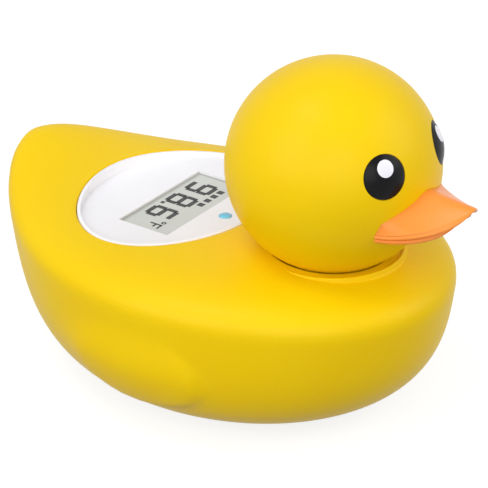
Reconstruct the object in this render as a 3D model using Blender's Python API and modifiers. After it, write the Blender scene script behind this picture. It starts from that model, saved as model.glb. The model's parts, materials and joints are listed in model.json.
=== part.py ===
"""Floating bath thermometer in the shape of a duck, built in metres with +Z up and the beak toward +X.

The hull is one formula, so that the shell, its cavity, the base plate, the door and the display bezel all follow
the same surface. Everything else takes its place from the named sizes below.
"""

import math

import bmesh
import bpy
from mathutils import Matrix, Vector

MM = 0.001
OBJECT_NAME = "bath_thermometer"

# Clearances
GAP = 0.3 * MM
FIT = 0.15 * MM

# Battery cells, which give the hull its least length
CELL_R = 5.25 * MM
CELL_LENGTH = 44.5 * MM
CELL_END_ROOM = 2.75 * MM
WELL_HALF_L = CELL_LENGTH / 2 + CELL_END_ROOM

# Hull: plan, heights and the exponents of its rounded section
HULL_X = -1.97 * MM
BOW_ROOM = 26.9 * MM
FRONT_REACH = WELL_HALF_L + BOW_ROOM
HALF_WIDTH = 39.05 * MM
STERN_ROOM = 21.1 * MM
TAIL_REACH_LOW = WELL_HALF_L + STERN_ROOM
TAIL_OVERHANG = 12.9 * MM
TAIL_REACH_TOP = TAIL_REACH_LOW + TAIL_OVERHANG
TAIL_FLARE = 0.73
CHEST_TUCK = 0.08
WAIST_Z = 29.0 * MM
DECK_Z = 38.6 * MM
KEEL_Z = -0.7 * MM
UPPER_ROUND = 3.04
LOWER_ROUND = 3.29
REAR_POINT = 1.1
TAIL_START_X = -16.17 * MM
TAIL_LIFT = 13.3 * MM
TAIL_CURVE = 3.2
LIFT_FADE = 0.68
TAIL_PINCH = 0.07
HULL_COLUMNS = 38
HULL_ROWS = 13
CAVITY_COLUMNS = 22
CAVITY_ROWS = 8

# Wing relief on each flank
WING_X = -1.47 * MM
WING_Z = 15.5 * MM
WING_REACH = 17.8 * MM
WING_DEPTH = 8.5 * MM
WING_RISE = 1.3 * MM
WING_EDGE = 0.16
WING_BACK = 27.0 * MM
WING_FADE_LOW = 16.0 * MM
WING_FADE_HIGH = 27.0 * MM

# Shell and seam
WALL = 2.0 * MM
SEAM_Z = 2.5 * MM
OPENING_INSET = 2.6 * MM
FLANGE_TOP = 5.2 * MM
SEAL_INSET = 2.8 * MM
SEAL_WIDTH = 0.6 * MM
SEAL_HEIGHT = 1.3 * MM
TONGUE_INSET = 3.6 * MM
TONGUE_WIDTH = 1.2 * MM
TONGUE_TOP = 4.6 * MM

# Posts for the four base screws
POST_X = 13.0 * MM
POST_Y = 16.0 * MM
POST_R = 2.8 * MM
POST_TOP = 15.0 * MM
WEB_WIDTH = 1.6 * MM
WEB_REACH = 26.0 * MM
SCREW_R = 0.9 * MM
SCREW_HEAD_R = 1.9 * MM
SCREW_HEAD_H = 1.0 * MM
SCREW_LENGTH = 9.0 * MM
HEAD_RECESS = 0.35 * MM
DRIVE_R = 1.0 * MM
DRIVE_WIDTH = 0.45 * MM
DRIVE_DEPTH = 0.6 * MM

# Head and neck
HEAD_X = 23.83 * MM
HEAD_Z = 56.8 * MM
HEAD_R = 23.0 * MM
HEAD_WALL = 2.0 * MM
DISH_GAP = 0.8 * MM
COLLAR_TOP = 37.4 * MM
COLLAR_R = 18.0 * MM
BEAD_RING_R = 15.4 * MM
BEAD_R = 0.6 * MM
BOSS_R = 15.0 * MM
BOSS_BOTTOM = 28.5 * MM
SEAT_Z = 33.0 * MM
SEAT_R = 11.2 * MM
SPIGOT_R = 7.9 * MM
SPIGOT_BORE_R = 4.7 * MM
RETAINER_R = 11.0 * MM
RETAINER_H = 1.5 * MM
NECK_SCREW_OFFSET = 6.3 * MM
NECK_SCREW_LENGTH = 5.0 * MM

# Eyes
EYE_AZIMUTH = math.radians(29.0)
EYE_ELEVATION = math.radians(16.7)
EYE_R = 4.65 * MM
EYE_BULGE = 0.75 * MM
EYE_SEAT = 1.05 * MM
EYE_PEG_R = 1.5 * MM
EYE_PEG_END = 2.9 * MM
HIGHLIGHT_R = 1.95 * MM
HIGHLIGHT_OFFSET = 1.85 * MM
HIGHLIGHT_DEPTH = 0.6 * MM

# Beak
BEAK_ROOT_INSET = 7.72 * MM
BEAK_ROOT_X = HEAD_R - BEAK_ROOT_INSET
BEAK_REACH = 19.67 * MM
BEAK_SIDE_INSET = 9.32 * MM
BEAK_HALF_WIDTH = HEAD_R - BEAK_SIDE_INSET
BEAK_SQUARE = 1.365
BEAK_TIP_DROP = 0.27 * MM
BEAK_CORNER_DROP = 6.46 * MM
BEAK_LIP_CURVE = 0.62
BEAK_ARCH_TOP = 0.35 * MM
BEAK_ARCH_FALL = 3.96 * MM
BEAK_ARCH_CURVE = 1.96
BEAK_SADDLE = 1.26
BEAK_FLOOR = 8.6 * MM
BEAK_INNER_INSET = 8.0 * MM
BEAK_INNER_X = HEAD_R - BEAK_INNER_INSET
LIP_THICK = 1.3 * MM
LIP_ROUND = 0.5 * MM
MOUTH_DEPTH = 1.2 * MM
MOUTH_HEIGHT = 0.4 * MM
LOWER_LIP = 1.4 * MM
LOWER_LIP_INSET = 0.35 * MM
BEAK_COLUMNS = 21
TENON_HALF_Y = 5.0 * MM
TENON_TOP = 3.9 * MM
TENON_BOTTOM = 7.1 * MM
TENON_TAIL = 1.8 * MM
TENON_INNER = HEAD_R - HEAD_WALL - TENON_TAIL
TENON_ROOT = 1.0 * MM
TENON_OUTER = HEAD_R + TENON_ROOT

# Display oval, measured from its centre
OVAL_X = -16.4 * MM
OVAL_A = 20.4 * MM
OVAL_B = 25.8 * MM
PANEL_Z = 36.4 * MM
PANEL_THICK = 1.6 * MM
RIM_WIDTH = 1.2 * MM
WELL_WALL = 1.7 * MM
LEDGE_WIDTH = 1.5 * MM
LEDGE_Z = 33.5 * MM
LEDGE_THICK = 1.5 * MM
GASKET_WIDTH = 1.2 * MM
OVAL_SIDES = 36

# Display window and the parts under it
WINDOW_X = 0.93 * MM
WINDOW_L = 29.6 * MM
WINDOW_W = 13.2 * MM
WINDOW_ROUND = 0.8 * MM
WINDOW_RECESS = 0.5 * MM
FLANGE_REACH = 1.1 * MM
FLANGE_REACH_X = 0.7 * MM
FLANGE_THICK = 1.1 * MM
LCD_THICK = 2.0 * MM
FRAME_WALL = 0.85 * MM
ZEBRA_WIDTH = 2.0 * MM
ZEBRA_OFFSET = 6.0 * MM
ZEBRA_TRIM = 1.5 * MM
PCB_A = 18.4 * MM
PCB_B = 23.6 * MM
PCB_THICK = 1.2 * MM
PCB_TOP = 28.8 * MM
PANEL_POSTS = ((-13.2 * MM, 13.0 * MM), (-0.7 * MM, 20.3 * MM))
PANEL_POST_R = 2.0 * MM
PCB_SCREW_R = 0.7 * MM
PCB_SCREW_LENGTH = 5.0 * MM
BLOB_R = 4.5 * MM
BLOB_H = 1.6 * MM
BLOB_X = -6.7 * MM
LED_X = 12.6 * MM
LED_R = 1.5 * MM
LED_FLANGE_R = 1.75 * MM
LED_FLANGE_H = 0.9 * MM
LENS_R = 1.4 * MM
LENS_FLANGE_R = 1.9 * MM
LENS_FLANGE_H = 0.3 * MM
LENS_PROUD = 0.4 * MM

# Battery compartment
WELL_X = -2.07 * MM
NUB_R = 1.9 * MM
NUB_LENGTH = 1.0 * MM
CELL_SPACE = 0.5 * MM
CELL_PITCH = 2 * CELL_R + CELL_SPACE
CELL_FLOOR = 2.1 * MM
CELL_SIDE_ROOM = 0.25 * MM
WELL_HALF_W = CELL_PITCH / 2 + CELL_R + CELL_SIDE_ROOM
WELL_CORNER = 1.2 * MM
BLOCK_CORNER = 5.0 * MM
WELL_SKIN = 2.0 * MM
WELL_ROOF = 1.2 * MM
LEDGE_STEP = 1.2 * MM
DOOR_LEDGE_Z = 2.3 * MM
DOOR_TOP = 1.6 * MM
DOOR_SEAL_H = 0.5 * MM
EAR_X = -9.22 * MM
EAR_Y = 14.2 * MM
EAR_R = 3.0 * MM
EAR_BOSS_R = 2.6 * MM
EAR_BOSS_TOP = 9.0 * MM
HOOK_X = 12.0 * MM
HOOK_WIDTH = 4.0 * MM
HOOK_REACH = 1.3 * MM
HOOK_BOTTOM = 1.0 * MM
HOOK_TOP = 1.6 * MM
PLATE_THICK = 0.4 * MM
PLATE_HALF = 3.8 * MM
TAB_HALF = 1.2 * MM
TAB_RISE = 2.6 * MM
SPRING_R = 2.6 * MM
SPRING_WIRE_R = 0.3 * MM
SPRING_TURNS = 2.5
SPRING_POINTS = 6

# Probe and water contacts in the base
PROBE_X = -3.47 * MM
PROBE_SHARE = 0.44
PROBE_Y = -PROBE_SHARE * HALF_WIDTH
PROBE_R = 2.0 * MM
PROBE_WALL = 0.4 * MM
PROBE_BOTTOM = 0.55 * MM
PROBE_FLANGE_R = 3.5 * MM
PROBE_FLANGE_H = 0.4 * MM
PROBE_BOSS_R = 4.0 * MM
PROBE_BOSS_TOP = 4.6 * MM
PROBE_SEAL_H = 0.6 * MM
THERMISTOR_R = 1.1 * MM
THERMISTOR_H = 3.0 * MM
PIN_XS = (-1.4 * MM, 3.9 * MM)
PIN_SHARE = 0.432
PIN_Y = PIN_SHARE * HALF_WIDTH
PIN_R = 1.1 * MM
PIN_BOTTOM = 0.5 * MM
PIN_TOP = 7.0 * MM
PIN_FLANGE_R = 1.9 * MM
PIN_FLANGE_H = 0.5 * MM
PIN_BOSS_R = 2.1 * MM
PIN_BOSS_TOP = 4.4 * MM
LEAD_R = 0.5 * MM
LEAD_POINTS = 7
LEAD_SPACING = 3.0 * MM

ROUND_SIDES = 16
SMALL_SIDES = 10
SCREW_SIDES = 8

COLOURS = {
    "yellow_shell": ((0.957, 0.640, 0.009), 0.42, 0.0),
    "orange_beak": ((0.964, 0.320, 0.068), 0.35, 0.0),
    "eye_black": ((0.010, 0.011, 0.012), 0.08, 0.0),
    "eye_white": ((0.88, 0.87, 0.93), 0.25, 0.0),
    "white_panel": ((0.90, 0.90, 0.92), 0.35, 0.0),
    "window_clear": ((0.80, 0.80, 0.78), 0.05, 0.0),
    "lcd_glass": ((0.52, 0.55, 0.53), 0.15, 0.0),
    "frame_grey": ((0.55, 0.56, 0.57), 0.5, 0.0),
    "led_blue": ((0.17, 0.66, 0.88), 0.15, 0.0),
    "seal_rubber": ((0.06, 0.06, 0.065), 0.7, 0.0),
    "board_green": ((0.02, 0.17, 0.07), 0.45, 0.0),
    "epoxy_black": ((0.012, 0.012, 0.013), 0.3, 0.0),
    "zebra_rubber": ((0.72, 0.60, 0.58), 0.6, 0.0),
    "steel": ((0.62, 0.62, 0.63), 0.28, 1.0),
    "screw_steel": ((0.45, 0.45, 0.46), 0.35, 1.0),
    "spring_steel": ((0.66, 0.66, 0.64), 0.25, 1.0),
    "cell_sleeve": ((0.10, 0.13, 0.16), 0.35, 0.0),
    "lead_red": ((0.55, 0.02, 0.02), 0.45, 0.0),
    "lead_black": ((0.02, 0.02, 0.02), 0.45, 0.0),
}


# Scene, collections and materials


def clear_scene() -> None:
    """Removes every object, and the collections that held them."""
    for obj in list(bpy.data.objects):
        bpy.data.objects.remove(obj, do_unlink=True)
    for collection in list(bpy.data.collections):
        bpy.data.collections.remove(collection)


def new_collection(name: str):
    collection = bpy.data.collections.new(name)
    bpy.context.scene.collection.children.link(collection)
    return collection


clear_scene()
PARTS = new_collection(OBJECT_NAME)
CUTTERS = new_collection("cutters")


def material(name: str):
    """The Principled material of this name, made on first use."""
    if name in bpy.data.materials:
        return bpy.data.materials[name]
    colour, roughness, metallic = COLOURS[name]
    made = bpy.data.materials.new(name)
    made.use_nodes = True
    shader = made.node_tree.nodes["Principled BSDF"]
    shader.inputs["Base Color"].default_value = (*colour, 1.0)
    shader.inputs["Roughness"].default_value = roughness
    shader.inputs["Metallic"].default_value = metallic
    made.diffuse_color = (*colour, 1.0)
    return made


def as_part(obj, finish: str):
    """Puts an object among the parts, with its own material."""
    PARTS.objects.link(obj)
    obj.data.materials.append(material(finish))
    return obj


def as_cutter(obj):
    """Puts an object among the helpers, which no render shows."""
    CUTTERS.objects.link(obj)
    obj.hide_render = True
    obj.display_type = "WIRE"
    return obj


def boolean(target, other, operation: str = "DIFFERENCE"):
    """Cuts, joins or trims the target with another object, by the exact solver."""
    modifier = target.modifiers.new(other.name, "BOOLEAN")
    modifier.operation = operation
    modifier.solver = "EXACT"
    modifier.object = other
    return target


# Shapes


def object_from(name: str, mesh_tool):
    """An object that takes what a bmesh holds."""
    mesh = bpy.data.meshes.new(name)
    bmesh.ops.recalc_face_normals(mesh_tool, faces=mesh_tool.faces)
    mesh_tool.to_mesh(mesh)
    mesh_tool.free()
    return bpy.data.objects.new(name, mesh)


def cylinder(name: str, radius: float, bottom: float, top: float, at=(0.0, 0.0), sides: int = ROUND_SIDES):
    tool = bmesh.new()
    middle = Matrix.Translation((at[0], at[1], (bottom + top) / 2))
    bmesh.ops.create_cone(
        tool, cap_ends=True, segments=sides, radius1=radius, radius2=radius, depth=top - bottom, matrix=middle
    )
    return object_from(name, tool)


def box(name: str, low, high):
    """A block between two corners."""
    tool = bmesh.new()
    size = Vector(high) - Vector(low)
    middle = (Vector(high) + Vector(low)) / 2
    bmesh.ops.create_cube(tool, size=1.0, matrix=Matrix.Translation(middle) @ Matrix.Diagonal((*size, 1.0)))
    return object_from(name, tool)


def ball(name: str, radius: float, centre, segments: int, rings: int):
    tool = bmesh.new()
    bmesh.ops.create_uvsphere(
        tool, u_segments=segments, v_segments=rings, radius=radius, matrix=Matrix.Translation(centre)
    )
    return object_from(name, tool)


def plate(name: str, outlines, bottom: float, top: float):
    """A flat outline with its holes, filled and extruded between two heights."""
    curve = bpy.data.curves.new(name, "CURVE")
    curve.dimensions = "2D"
    curve.fill_mode = "BOTH"
    curve.extrude = (top - bottom) / 2
    for outline in outlines:
        spline = curve.splines.new("POLY")
        spline.points.add(len(outline) - 1)
        for point, (x, y) in zip(spline.points, outline):
            point.co = (x, y, 0.0, 1.0)
        spline.use_cyclic_u = True
    drawn = bpy.data.objects.new(name + "_outline", curve)
    bpy.context.scene.collection.objects.link(drawn)
    bpy.context.view_layer.update()
    mesh = bpy.data.meshes.new_from_object(drawn.evaluated_get(bpy.context.evaluated_depsgraph_get()))
    bpy.data.objects.remove(drawn, do_unlink=True)
    tool = bmesh.new()
    tool.from_mesh(mesh)
    bpy.data.meshes.remove(mesh)
    bmesh.ops.remove_doubles(tool, verts=tool.verts, dist=1e-7)
    bmesh.ops.translate(tool, verts=tool.verts, vec=(0.0, 0.0, (top + bottom) / 2))
    return object_from(name, tool)


def turned(name: str, profile, place: Matrix, sides: int = ROUND_SIDES):
    """A profile of (radius, height) pairs turned round the local Z axis.

    It climbs its outer side, and it starts and ends on the axis or closes on itself. The Screw modifier faces outward
    where the profile runs down its outer side, so the points are laid in reverse.
    """
    tool = bmesh.new()
    points = [tool.verts.new((radius, 0.0, height)) for radius, height in reversed(profile)]
    edges = [tool.edges.new(pair) for pair in zip(points, points[1:])]
    if profile[0][0] > 0.0:
        edges.append(tool.edges.new((points[-1], points[0])))
    mesh = bpy.data.meshes.new(name)
    tool.to_mesh(mesh)
    tool.free()
    obj = bpy.data.objects.new(name, mesh)
    obj.matrix_world = place
    screw = obj.modifiers.new("turn", "SCREW")
    screw.axis = "Z"
    screw.steps = sides
    screw.render_steps = sides
    screw.use_merge_vertices = True
    screw.merge_threshold = 1e-6
    return obj


def tube(name: str, points, radius: float):
    """A wire along points, as a bevelled curve with filled caps."""
    curve = bpy.data.curves.new(name, "CURVE")
    curve.dimensions = "3D"
    curve.bevel_depth = radius
    curve.bevel_resolution = 2
    curve.use_fill_caps = True
    spline = curve.splines.new("POLY")
    spline.points.add(len(points) - 1)
    for point, place in zip(spline.points, points):
        point.co = (*place, 1.0)
    return bpy.data.objects.new(name, curve)


def loft(name: str, rings):
    """A closed skin through rings of equal length; a ring of one point is a pole, and an open end is capped."""
    tool = bmesh.new()
    rows = [[tool.verts.new(point) for point in ring] for ring in rings]
    for lower, upper in zip(rows, rows[1:]):
        count = max(len(lower), len(upper))
        for index in range(count):
            after = (index + 1) % count
            corners = [lower[index % len(lower)], lower[after % len(lower)]]
            corners += [upper[after % len(upper)], upper[index % len(upper)]]
            tool.faces.new(list(dict.fromkeys(corners)))
    for end in (rows[0], rows[-1]):
        if len(end) > 1:
            tool.faces.new(end)
    bmesh.ops.triangulate(tool, faces=tool.faces)
    return object_from(name, tool)


def oval(half_x: float, half_y: float, centre_x: float = 0.0, sides: int = OVAL_SIDES):
    """An ellipse, with no corner on the plane of symmetry."""
    angles = [math.tau * (i + 0.5) / sides for i in range(sides)]
    return [(centre_x + half_x * math.cos(angle), half_y * math.sin(angle)) for angle in angles]


def circle(radius: float, at, sides: int = SMALL_SIDES):
    turn = math.tau / sides
    return [(at[0] + radius * math.cos(i * turn), at[1] + radius * math.sin(i * turn)) for i in range(sides)]


def rounded(half_x: float, half_y: float, corner: float, at=(0.0, 0.0), steps: int = 4):
    """A rectangle with round corners, counter-clockwise."""
    outline = []
    for quarter in range(4):
        sign_x = (1, -1, -1, 1)[quarter]
        sign_y = (1, 1, -1, -1)[quarter]
        for step in range(steps + 1):
            angle = math.radians(90 * quarter + 90 * step / steps)
            x = at[0] + sign_x * (half_x - corner) + corner * math.cos(angle)
            y = at[1] + sign_y * (half_y - corner) + corner * math.sin(angle)
            outline.append((x, y))
    return outline


def upright(x: float, y: float, z: float = 0.0) -> Matrix:
    return Matrix.Translation((x, y, z))


# Hull formula


def signed_power(value: float, power: float) -> float:
    return math.copysign(abs(value) ** power, value)


def smooth(value: float) -> float:
    value = min(max(value, 0.0), 1.0)
    return value * value * (3.0 - 2.0 * value)


def wing_height(x: float, z: float) -> float:
    """How far the wing stands off the flank at this point."""
    ahead = (x - WING_X) / (WING_REACH if x > WING_X else WING_BACK)
    down = (z - WING_Z) / WING_DEPTH
    inside = 1.0 - math.hypot(ahead, min(down, 0.0) if z < WING_Z else down * 0.7)
    edge = WING_EDGE if x > WING_X else WING_EDGE + smooth(-ahead)
    fade = smooth((WING_FADE_HIGH - z) / (WING_FADE_HIGH - WING_FADE_LOW))
    return WING_RISE * smooth(inside / edge) * fade


def hull_point(climb: float, around: float, inset: float = 0.0):
    """A point of the duck's body.

    climb runs from 0 at the keel to pi at the middle of the deck, around runs once round from the chest, and inset
    moves the surface inward by that much.
    """
    level = -math.cos(climb)
    power = 2.0 / (LOWER_ROUND if level < 0.0 else UPPER_ROUND)
    spread = abs(math.sin(climb)) ** power
    height = signed_power(level, power)
    if level < 0.0:
        z = WAIST_Z + (WAIST_Z - KEEL_Z - inset) * height
        tuck = 1.0 - CHEST_TUCK * min(1.0 - z / WAIST_Z, 1.0)
    else:
        z = WAIST_Z + (DECK_Z - inset - WAIST_Z) * height
        tuck = 1.0
    share = min(max(z / DECK_Z, 0.0), 1.0)
    tail = TAIL_REACH_LOW + (TAIL_REACH_TOP - TAIL_REACH_LOW) * share**TAIL_FLARE - inset
    ahead = math.cos(around)
    aside = math.sin(around)
    x = HULL_X + ahead * spread * ((FRONT_REACH * tuck - inset) if ahead > 0.0 else tail)
    y = (HALF_WIDTH - inset) * spread * (aside if ahead > 0.0 else signed_power(aside, REAR_POINT))
    behind = (TAIL_START_X - x) / (TAIL_START_X - HULL_X + TAIL_REACH_TOP)
    behind = min(max(behind, 0.0), 1.2)
    y *= 1.0 - TAIL_PINCH * behind**2
    y += math.copysign(wing_height(x, z) * abs(aside) * spread, y)
    z = max(z, inset) + TAIL_LIFT * behind**TAIL_CURVE * share**LIFT_FADE
    return x, y, z


def climb_at(z: float, inset: float = 0.0) -> float:
    """The climb at which the lower hull reaches this height."""
    share = (WAIST_Z - z) / (WAIST_Z - KEEL_Z - inset)
    return math.acos(share ** (LOWER_ROUND / 2.0))


def even_climbs(start: float, stop: float, rows: int):
    """Climbs that cut the section into steps of even length."""
    fine = [start + (stop - start) * i / 400 for i in range(401)]
    section = [hull_point(climb, math.pi / 2) for climb in fine]
    lengths = [0.0]
    for before, after in zip(section, section[1:]):
        lengths.append(lengths[-1] + math.dist(before, after))
    climbs = []
    index = 0
    for row in range(rows + 1):
        target = lengths[-1] * row / rows
        while index < 400 and lengths[index + 1] < target:
            index += 1
        climbs.append(fine[min(index + (1 if row else 0), 400)])
    return climbs


def hull_ring(climb: float, inset: float = 0.0, columns: int = HULL_COLUMNS):
    return [hull_point(climb, math.tau * i / columns, inset) for i in range(columns)]


def hull_above(name: str, z: float, inset: float = 0.0, rows: int = HULL_ROWS, columns: int = HULL_COLUMNS):
    """The hull from this height up, flat below."""
    climbs = even_climbs(climb_at(z, inset), math.pi, rows)
    rings = [[(x, y, z) for x, y, _ in hull_ring(climbs[0], inset, columns)]]
    rings += [hull_ring(climb, inset, columns) for climb in climbs[1:-1]]
    rings.append([hull_point(math.pi, 0.0, inset)])
    return loft(name, rings)


def hull_below(name: str, z: float, rows: int = 5):
    """The hull from this height down, flat above."""
    climbs = even_climbs(0.0, climb_at(z), rows)
    rings = [[hull_point(0.0, 0.0)]]
    rings += [hull_ring(climb) for climb in climbs[1:-1]]
    rings.append([(x, y, z) for x, y, _ in hull_ring(climbs[-1])])
    return loft(name, rings)


def seam_outline(inset: float):
    """The outline of the seam between shell and base, moved inward."""
    outline = []
    for x, y, _ in hull_ring(climb_at(SEAM_Z)):
        away = math.hypot(x - WELL_X, y)
        outline.append((WELL_X + (x - WELL_X) * (1.0 - inset / away), y * (1.0 - inset / away)))
    return outline


# Frames of the head's features


def head_point(x: float, y: float, z: float):
    """A point given from the centre of the head."""
    return HEAD_X + x, y, HEAD_Z + z


def eye_frame(side: int) -> Matrix:
    """Local Z along the eye's axis from the centre of the head, and local Y upward along its surface."""
    azimuth = side * EYE_AZIMUTH
    flat = math.cos(EYE_ELEVATION)
    axis = Vector((flat * math.cos(azimuth), flat * math.sin(azimuth), math.sin(EYE_ELEVATION)))
    across = Vector((-math.sin(azimuth), math.cos(azimuth), 0.0))
    up = axis.cross(across)
    frame = Matrix((across, up, axis)).transposed().to_4x4()
    frame.translation = Vector((HEAD_X, 0.0, HEAD_Z))
    return frame


# Screws


def screw(name: str, at, head_low: float, length: float, radius: float = SCREW_R, head_radius: float = SCREW_HEAD_R):
    """A pan-head screw driven upward, with a cross recess in its head."""
    top = head_low + SCREW_HEAD_H
    edge = 0.25 * SCREW_HEAD_H
    profile = [(0.0, head_low), (head_radius - edge, head_low), (head_radius, head_low + edge), (head_radius, top)]
    profile += [(radius, top), (radius, top + length), (0.0, top + length)]
    made = as_part(turned(name, profile, upright(*at), SCREW_SIDES), "screw_steel")
    for turn, (half_x, half_y) in enumerate(((DRIVE_R, DRIVE_WIDTH / 2), (DRIVE_WIDTH / 2, DRIVE_R))):
        low = (at[0] - half_x, at[1] - half_y, head_low - GAP)
        high = (at[0] + half_x, at[1] + half_y, head_low + DRIVE_DEPTH)
        boolean(made, as_cutter(box(f"{name}_drive_{turn}", low, high)))
    return made


# Sub-parts


POST_PLACES = [(WELL_X + sx * POST_X, sy * POST_Y) for sx in (1, -1) for sy in (1, -1)]
PANEL_POST_PLACES = [(OVAL_X + x, sign * y) for x, y in PANEL_POSTS for sign in (1, -1)]
SHELL_BOTTOM = SEAM_Z + GAP / 2
BASE_TOP = SEAM_Z - GAP / 2
BASE_SCREW_LOW = 0.42 * MM + HEAD_RECESS
BASE_SCREW_SEAT = BASE_SCREW_LOW + SCREW_HEAD_H + GAP / 2


def make_body_shell():
    """The moulded hull with its wing reliefs, neck collar, display well, flange and screw posts."""
    shell = as_part(hull_above("body_shell", SHELL_BOTTOM), "yellow_shell")
    boolean(shell, as_cutter(hull_above("hull_cavity", FLANGE_TOP, WALL, CAVITY_ROWS, CAVITY_COLUMNS)))
    opening = plate("base_opening", [seam_outline(OPENING_INSET)], SEAM_Z - WALL, FLANGE_TOP + WALL)
    boolean(shell, as_cutter(opening))
    middle = as_cutter(hull_above("hull_middle", SEAM_Z - WALL / 2, WALL / 2, CAVITY_ROWS, CAVITY_COLUMNS))
    well_outer = oval(OVAL_A + WELL_WALL, OVAL_B + WELL_WALL, OVAL_X)
    well_inner = oval(OVAL_A - LEDGE_WIDTH, OVAL_B - LEDGE_WIDTH, OVAL_X)
    well = as_cutter(plate("display_well", [well_outer], LEDGE_Z - LEDGE_THICK, PANEL_Z + TAIL_LIFT))
    structure = [well]
    for number, (x, y) in enumerate(POST_PLACES, 1):
        structure.append(as_cutter(cylinder(f"post_{number}", POST_R, SHELL_BOTTOM, POST_TOP, (x, y), SMALL_SIDES)))
        outer = math.copysign(abs(y) + WEB_REACH, y)
        low = (x - WEB_WIDTH / 2, min(y, outer), TONGUE_TOP + 2 * GAP)
        high = (x + WEB_WIDTH / 2, max(y, outer), POST_TOP - WEB_WIDTH)
        structure.append(as_cutter(box(f"post_web_{number}", low, high)))
    for piece in structure:
        boolean(piece, middle, "INTERSECT")
        boolean(shell, piece, "UNION")

    bead = [(BEAD_RING_R + BEAD_R * math.cos(a), COLLAR_TOP + BEAD_R * math.sin(a)) for a in steps_between(0, 180, 4)]
    drop = COLLAR_TOP - SEAT_Z
    flare = COLLAR_R - BEAD_RING_R - BEAD_R
    collar = [(0.0, BOSS_BOTTOM), (BOSS_R, BOSS_BOTTOM), (BOSS_R, SEAT_Z), (COLLAR_R - flare, SEAT_Z + 0.25 * drop)]
    collar += [
        (BEAD_RING_R + BEAD_R + flare * (1.0 - share) ** 2, COLLAR_TOP - 0.55 * drop * (1.0 - share))
        for share in (0.0, 0.33, 0.67)
    ]
    collar += [*bead, (0.0, COLLAR_TOP)]
    boolean(shell, as_cutter(turned("neck_collar", collar, upright(HEAD_X, 0.0), 28)), "UNION")

    high = HEAD_Z
    centre = (HEAD_X, 0.0)
    cuts = [ball("neck_dish", HEAD_R + DISH_GAP, head_point(0, 0, 0), 30, 18)]
    cuts.append(cylinder("neck_seat", SEAT_R, SEAT_Z, high, centre))
    cuts.append(cylinder("spigot_hole", SPIGOT_R + GAP, BOSS_BOTTOM - GAP, high, centre))
    cuts.append(plate("display_pocket", [oval(OVAL_A, OVAL_B, OVAL_X)], LEDGE_Z, high))
    cuts.append(plate("display_hole", [well_inner], LEDGE_Z - 2 * LEDGE_THICK, high))
    for number, place in enumerate(POST_PLACES, 1):
        depth = BASE_TOP + SCREW_LENGTH + WALL
        cuts.append(cylinder(f"post_pilot_{number}", SCREW_R + FIT, SEAM_Z - WALL, depth, place, SCREW_SIDES))
    for cut in cuts:
        boolean(shell, as_cutter(cut))
    return shell


def steps_between(first: float, last: float, count: int):
    """Angles in radians, evenly from one to the other in degrees."""
    return [math.radians(first + (last - first) * i / count) for i in range(count + 1)]


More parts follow.
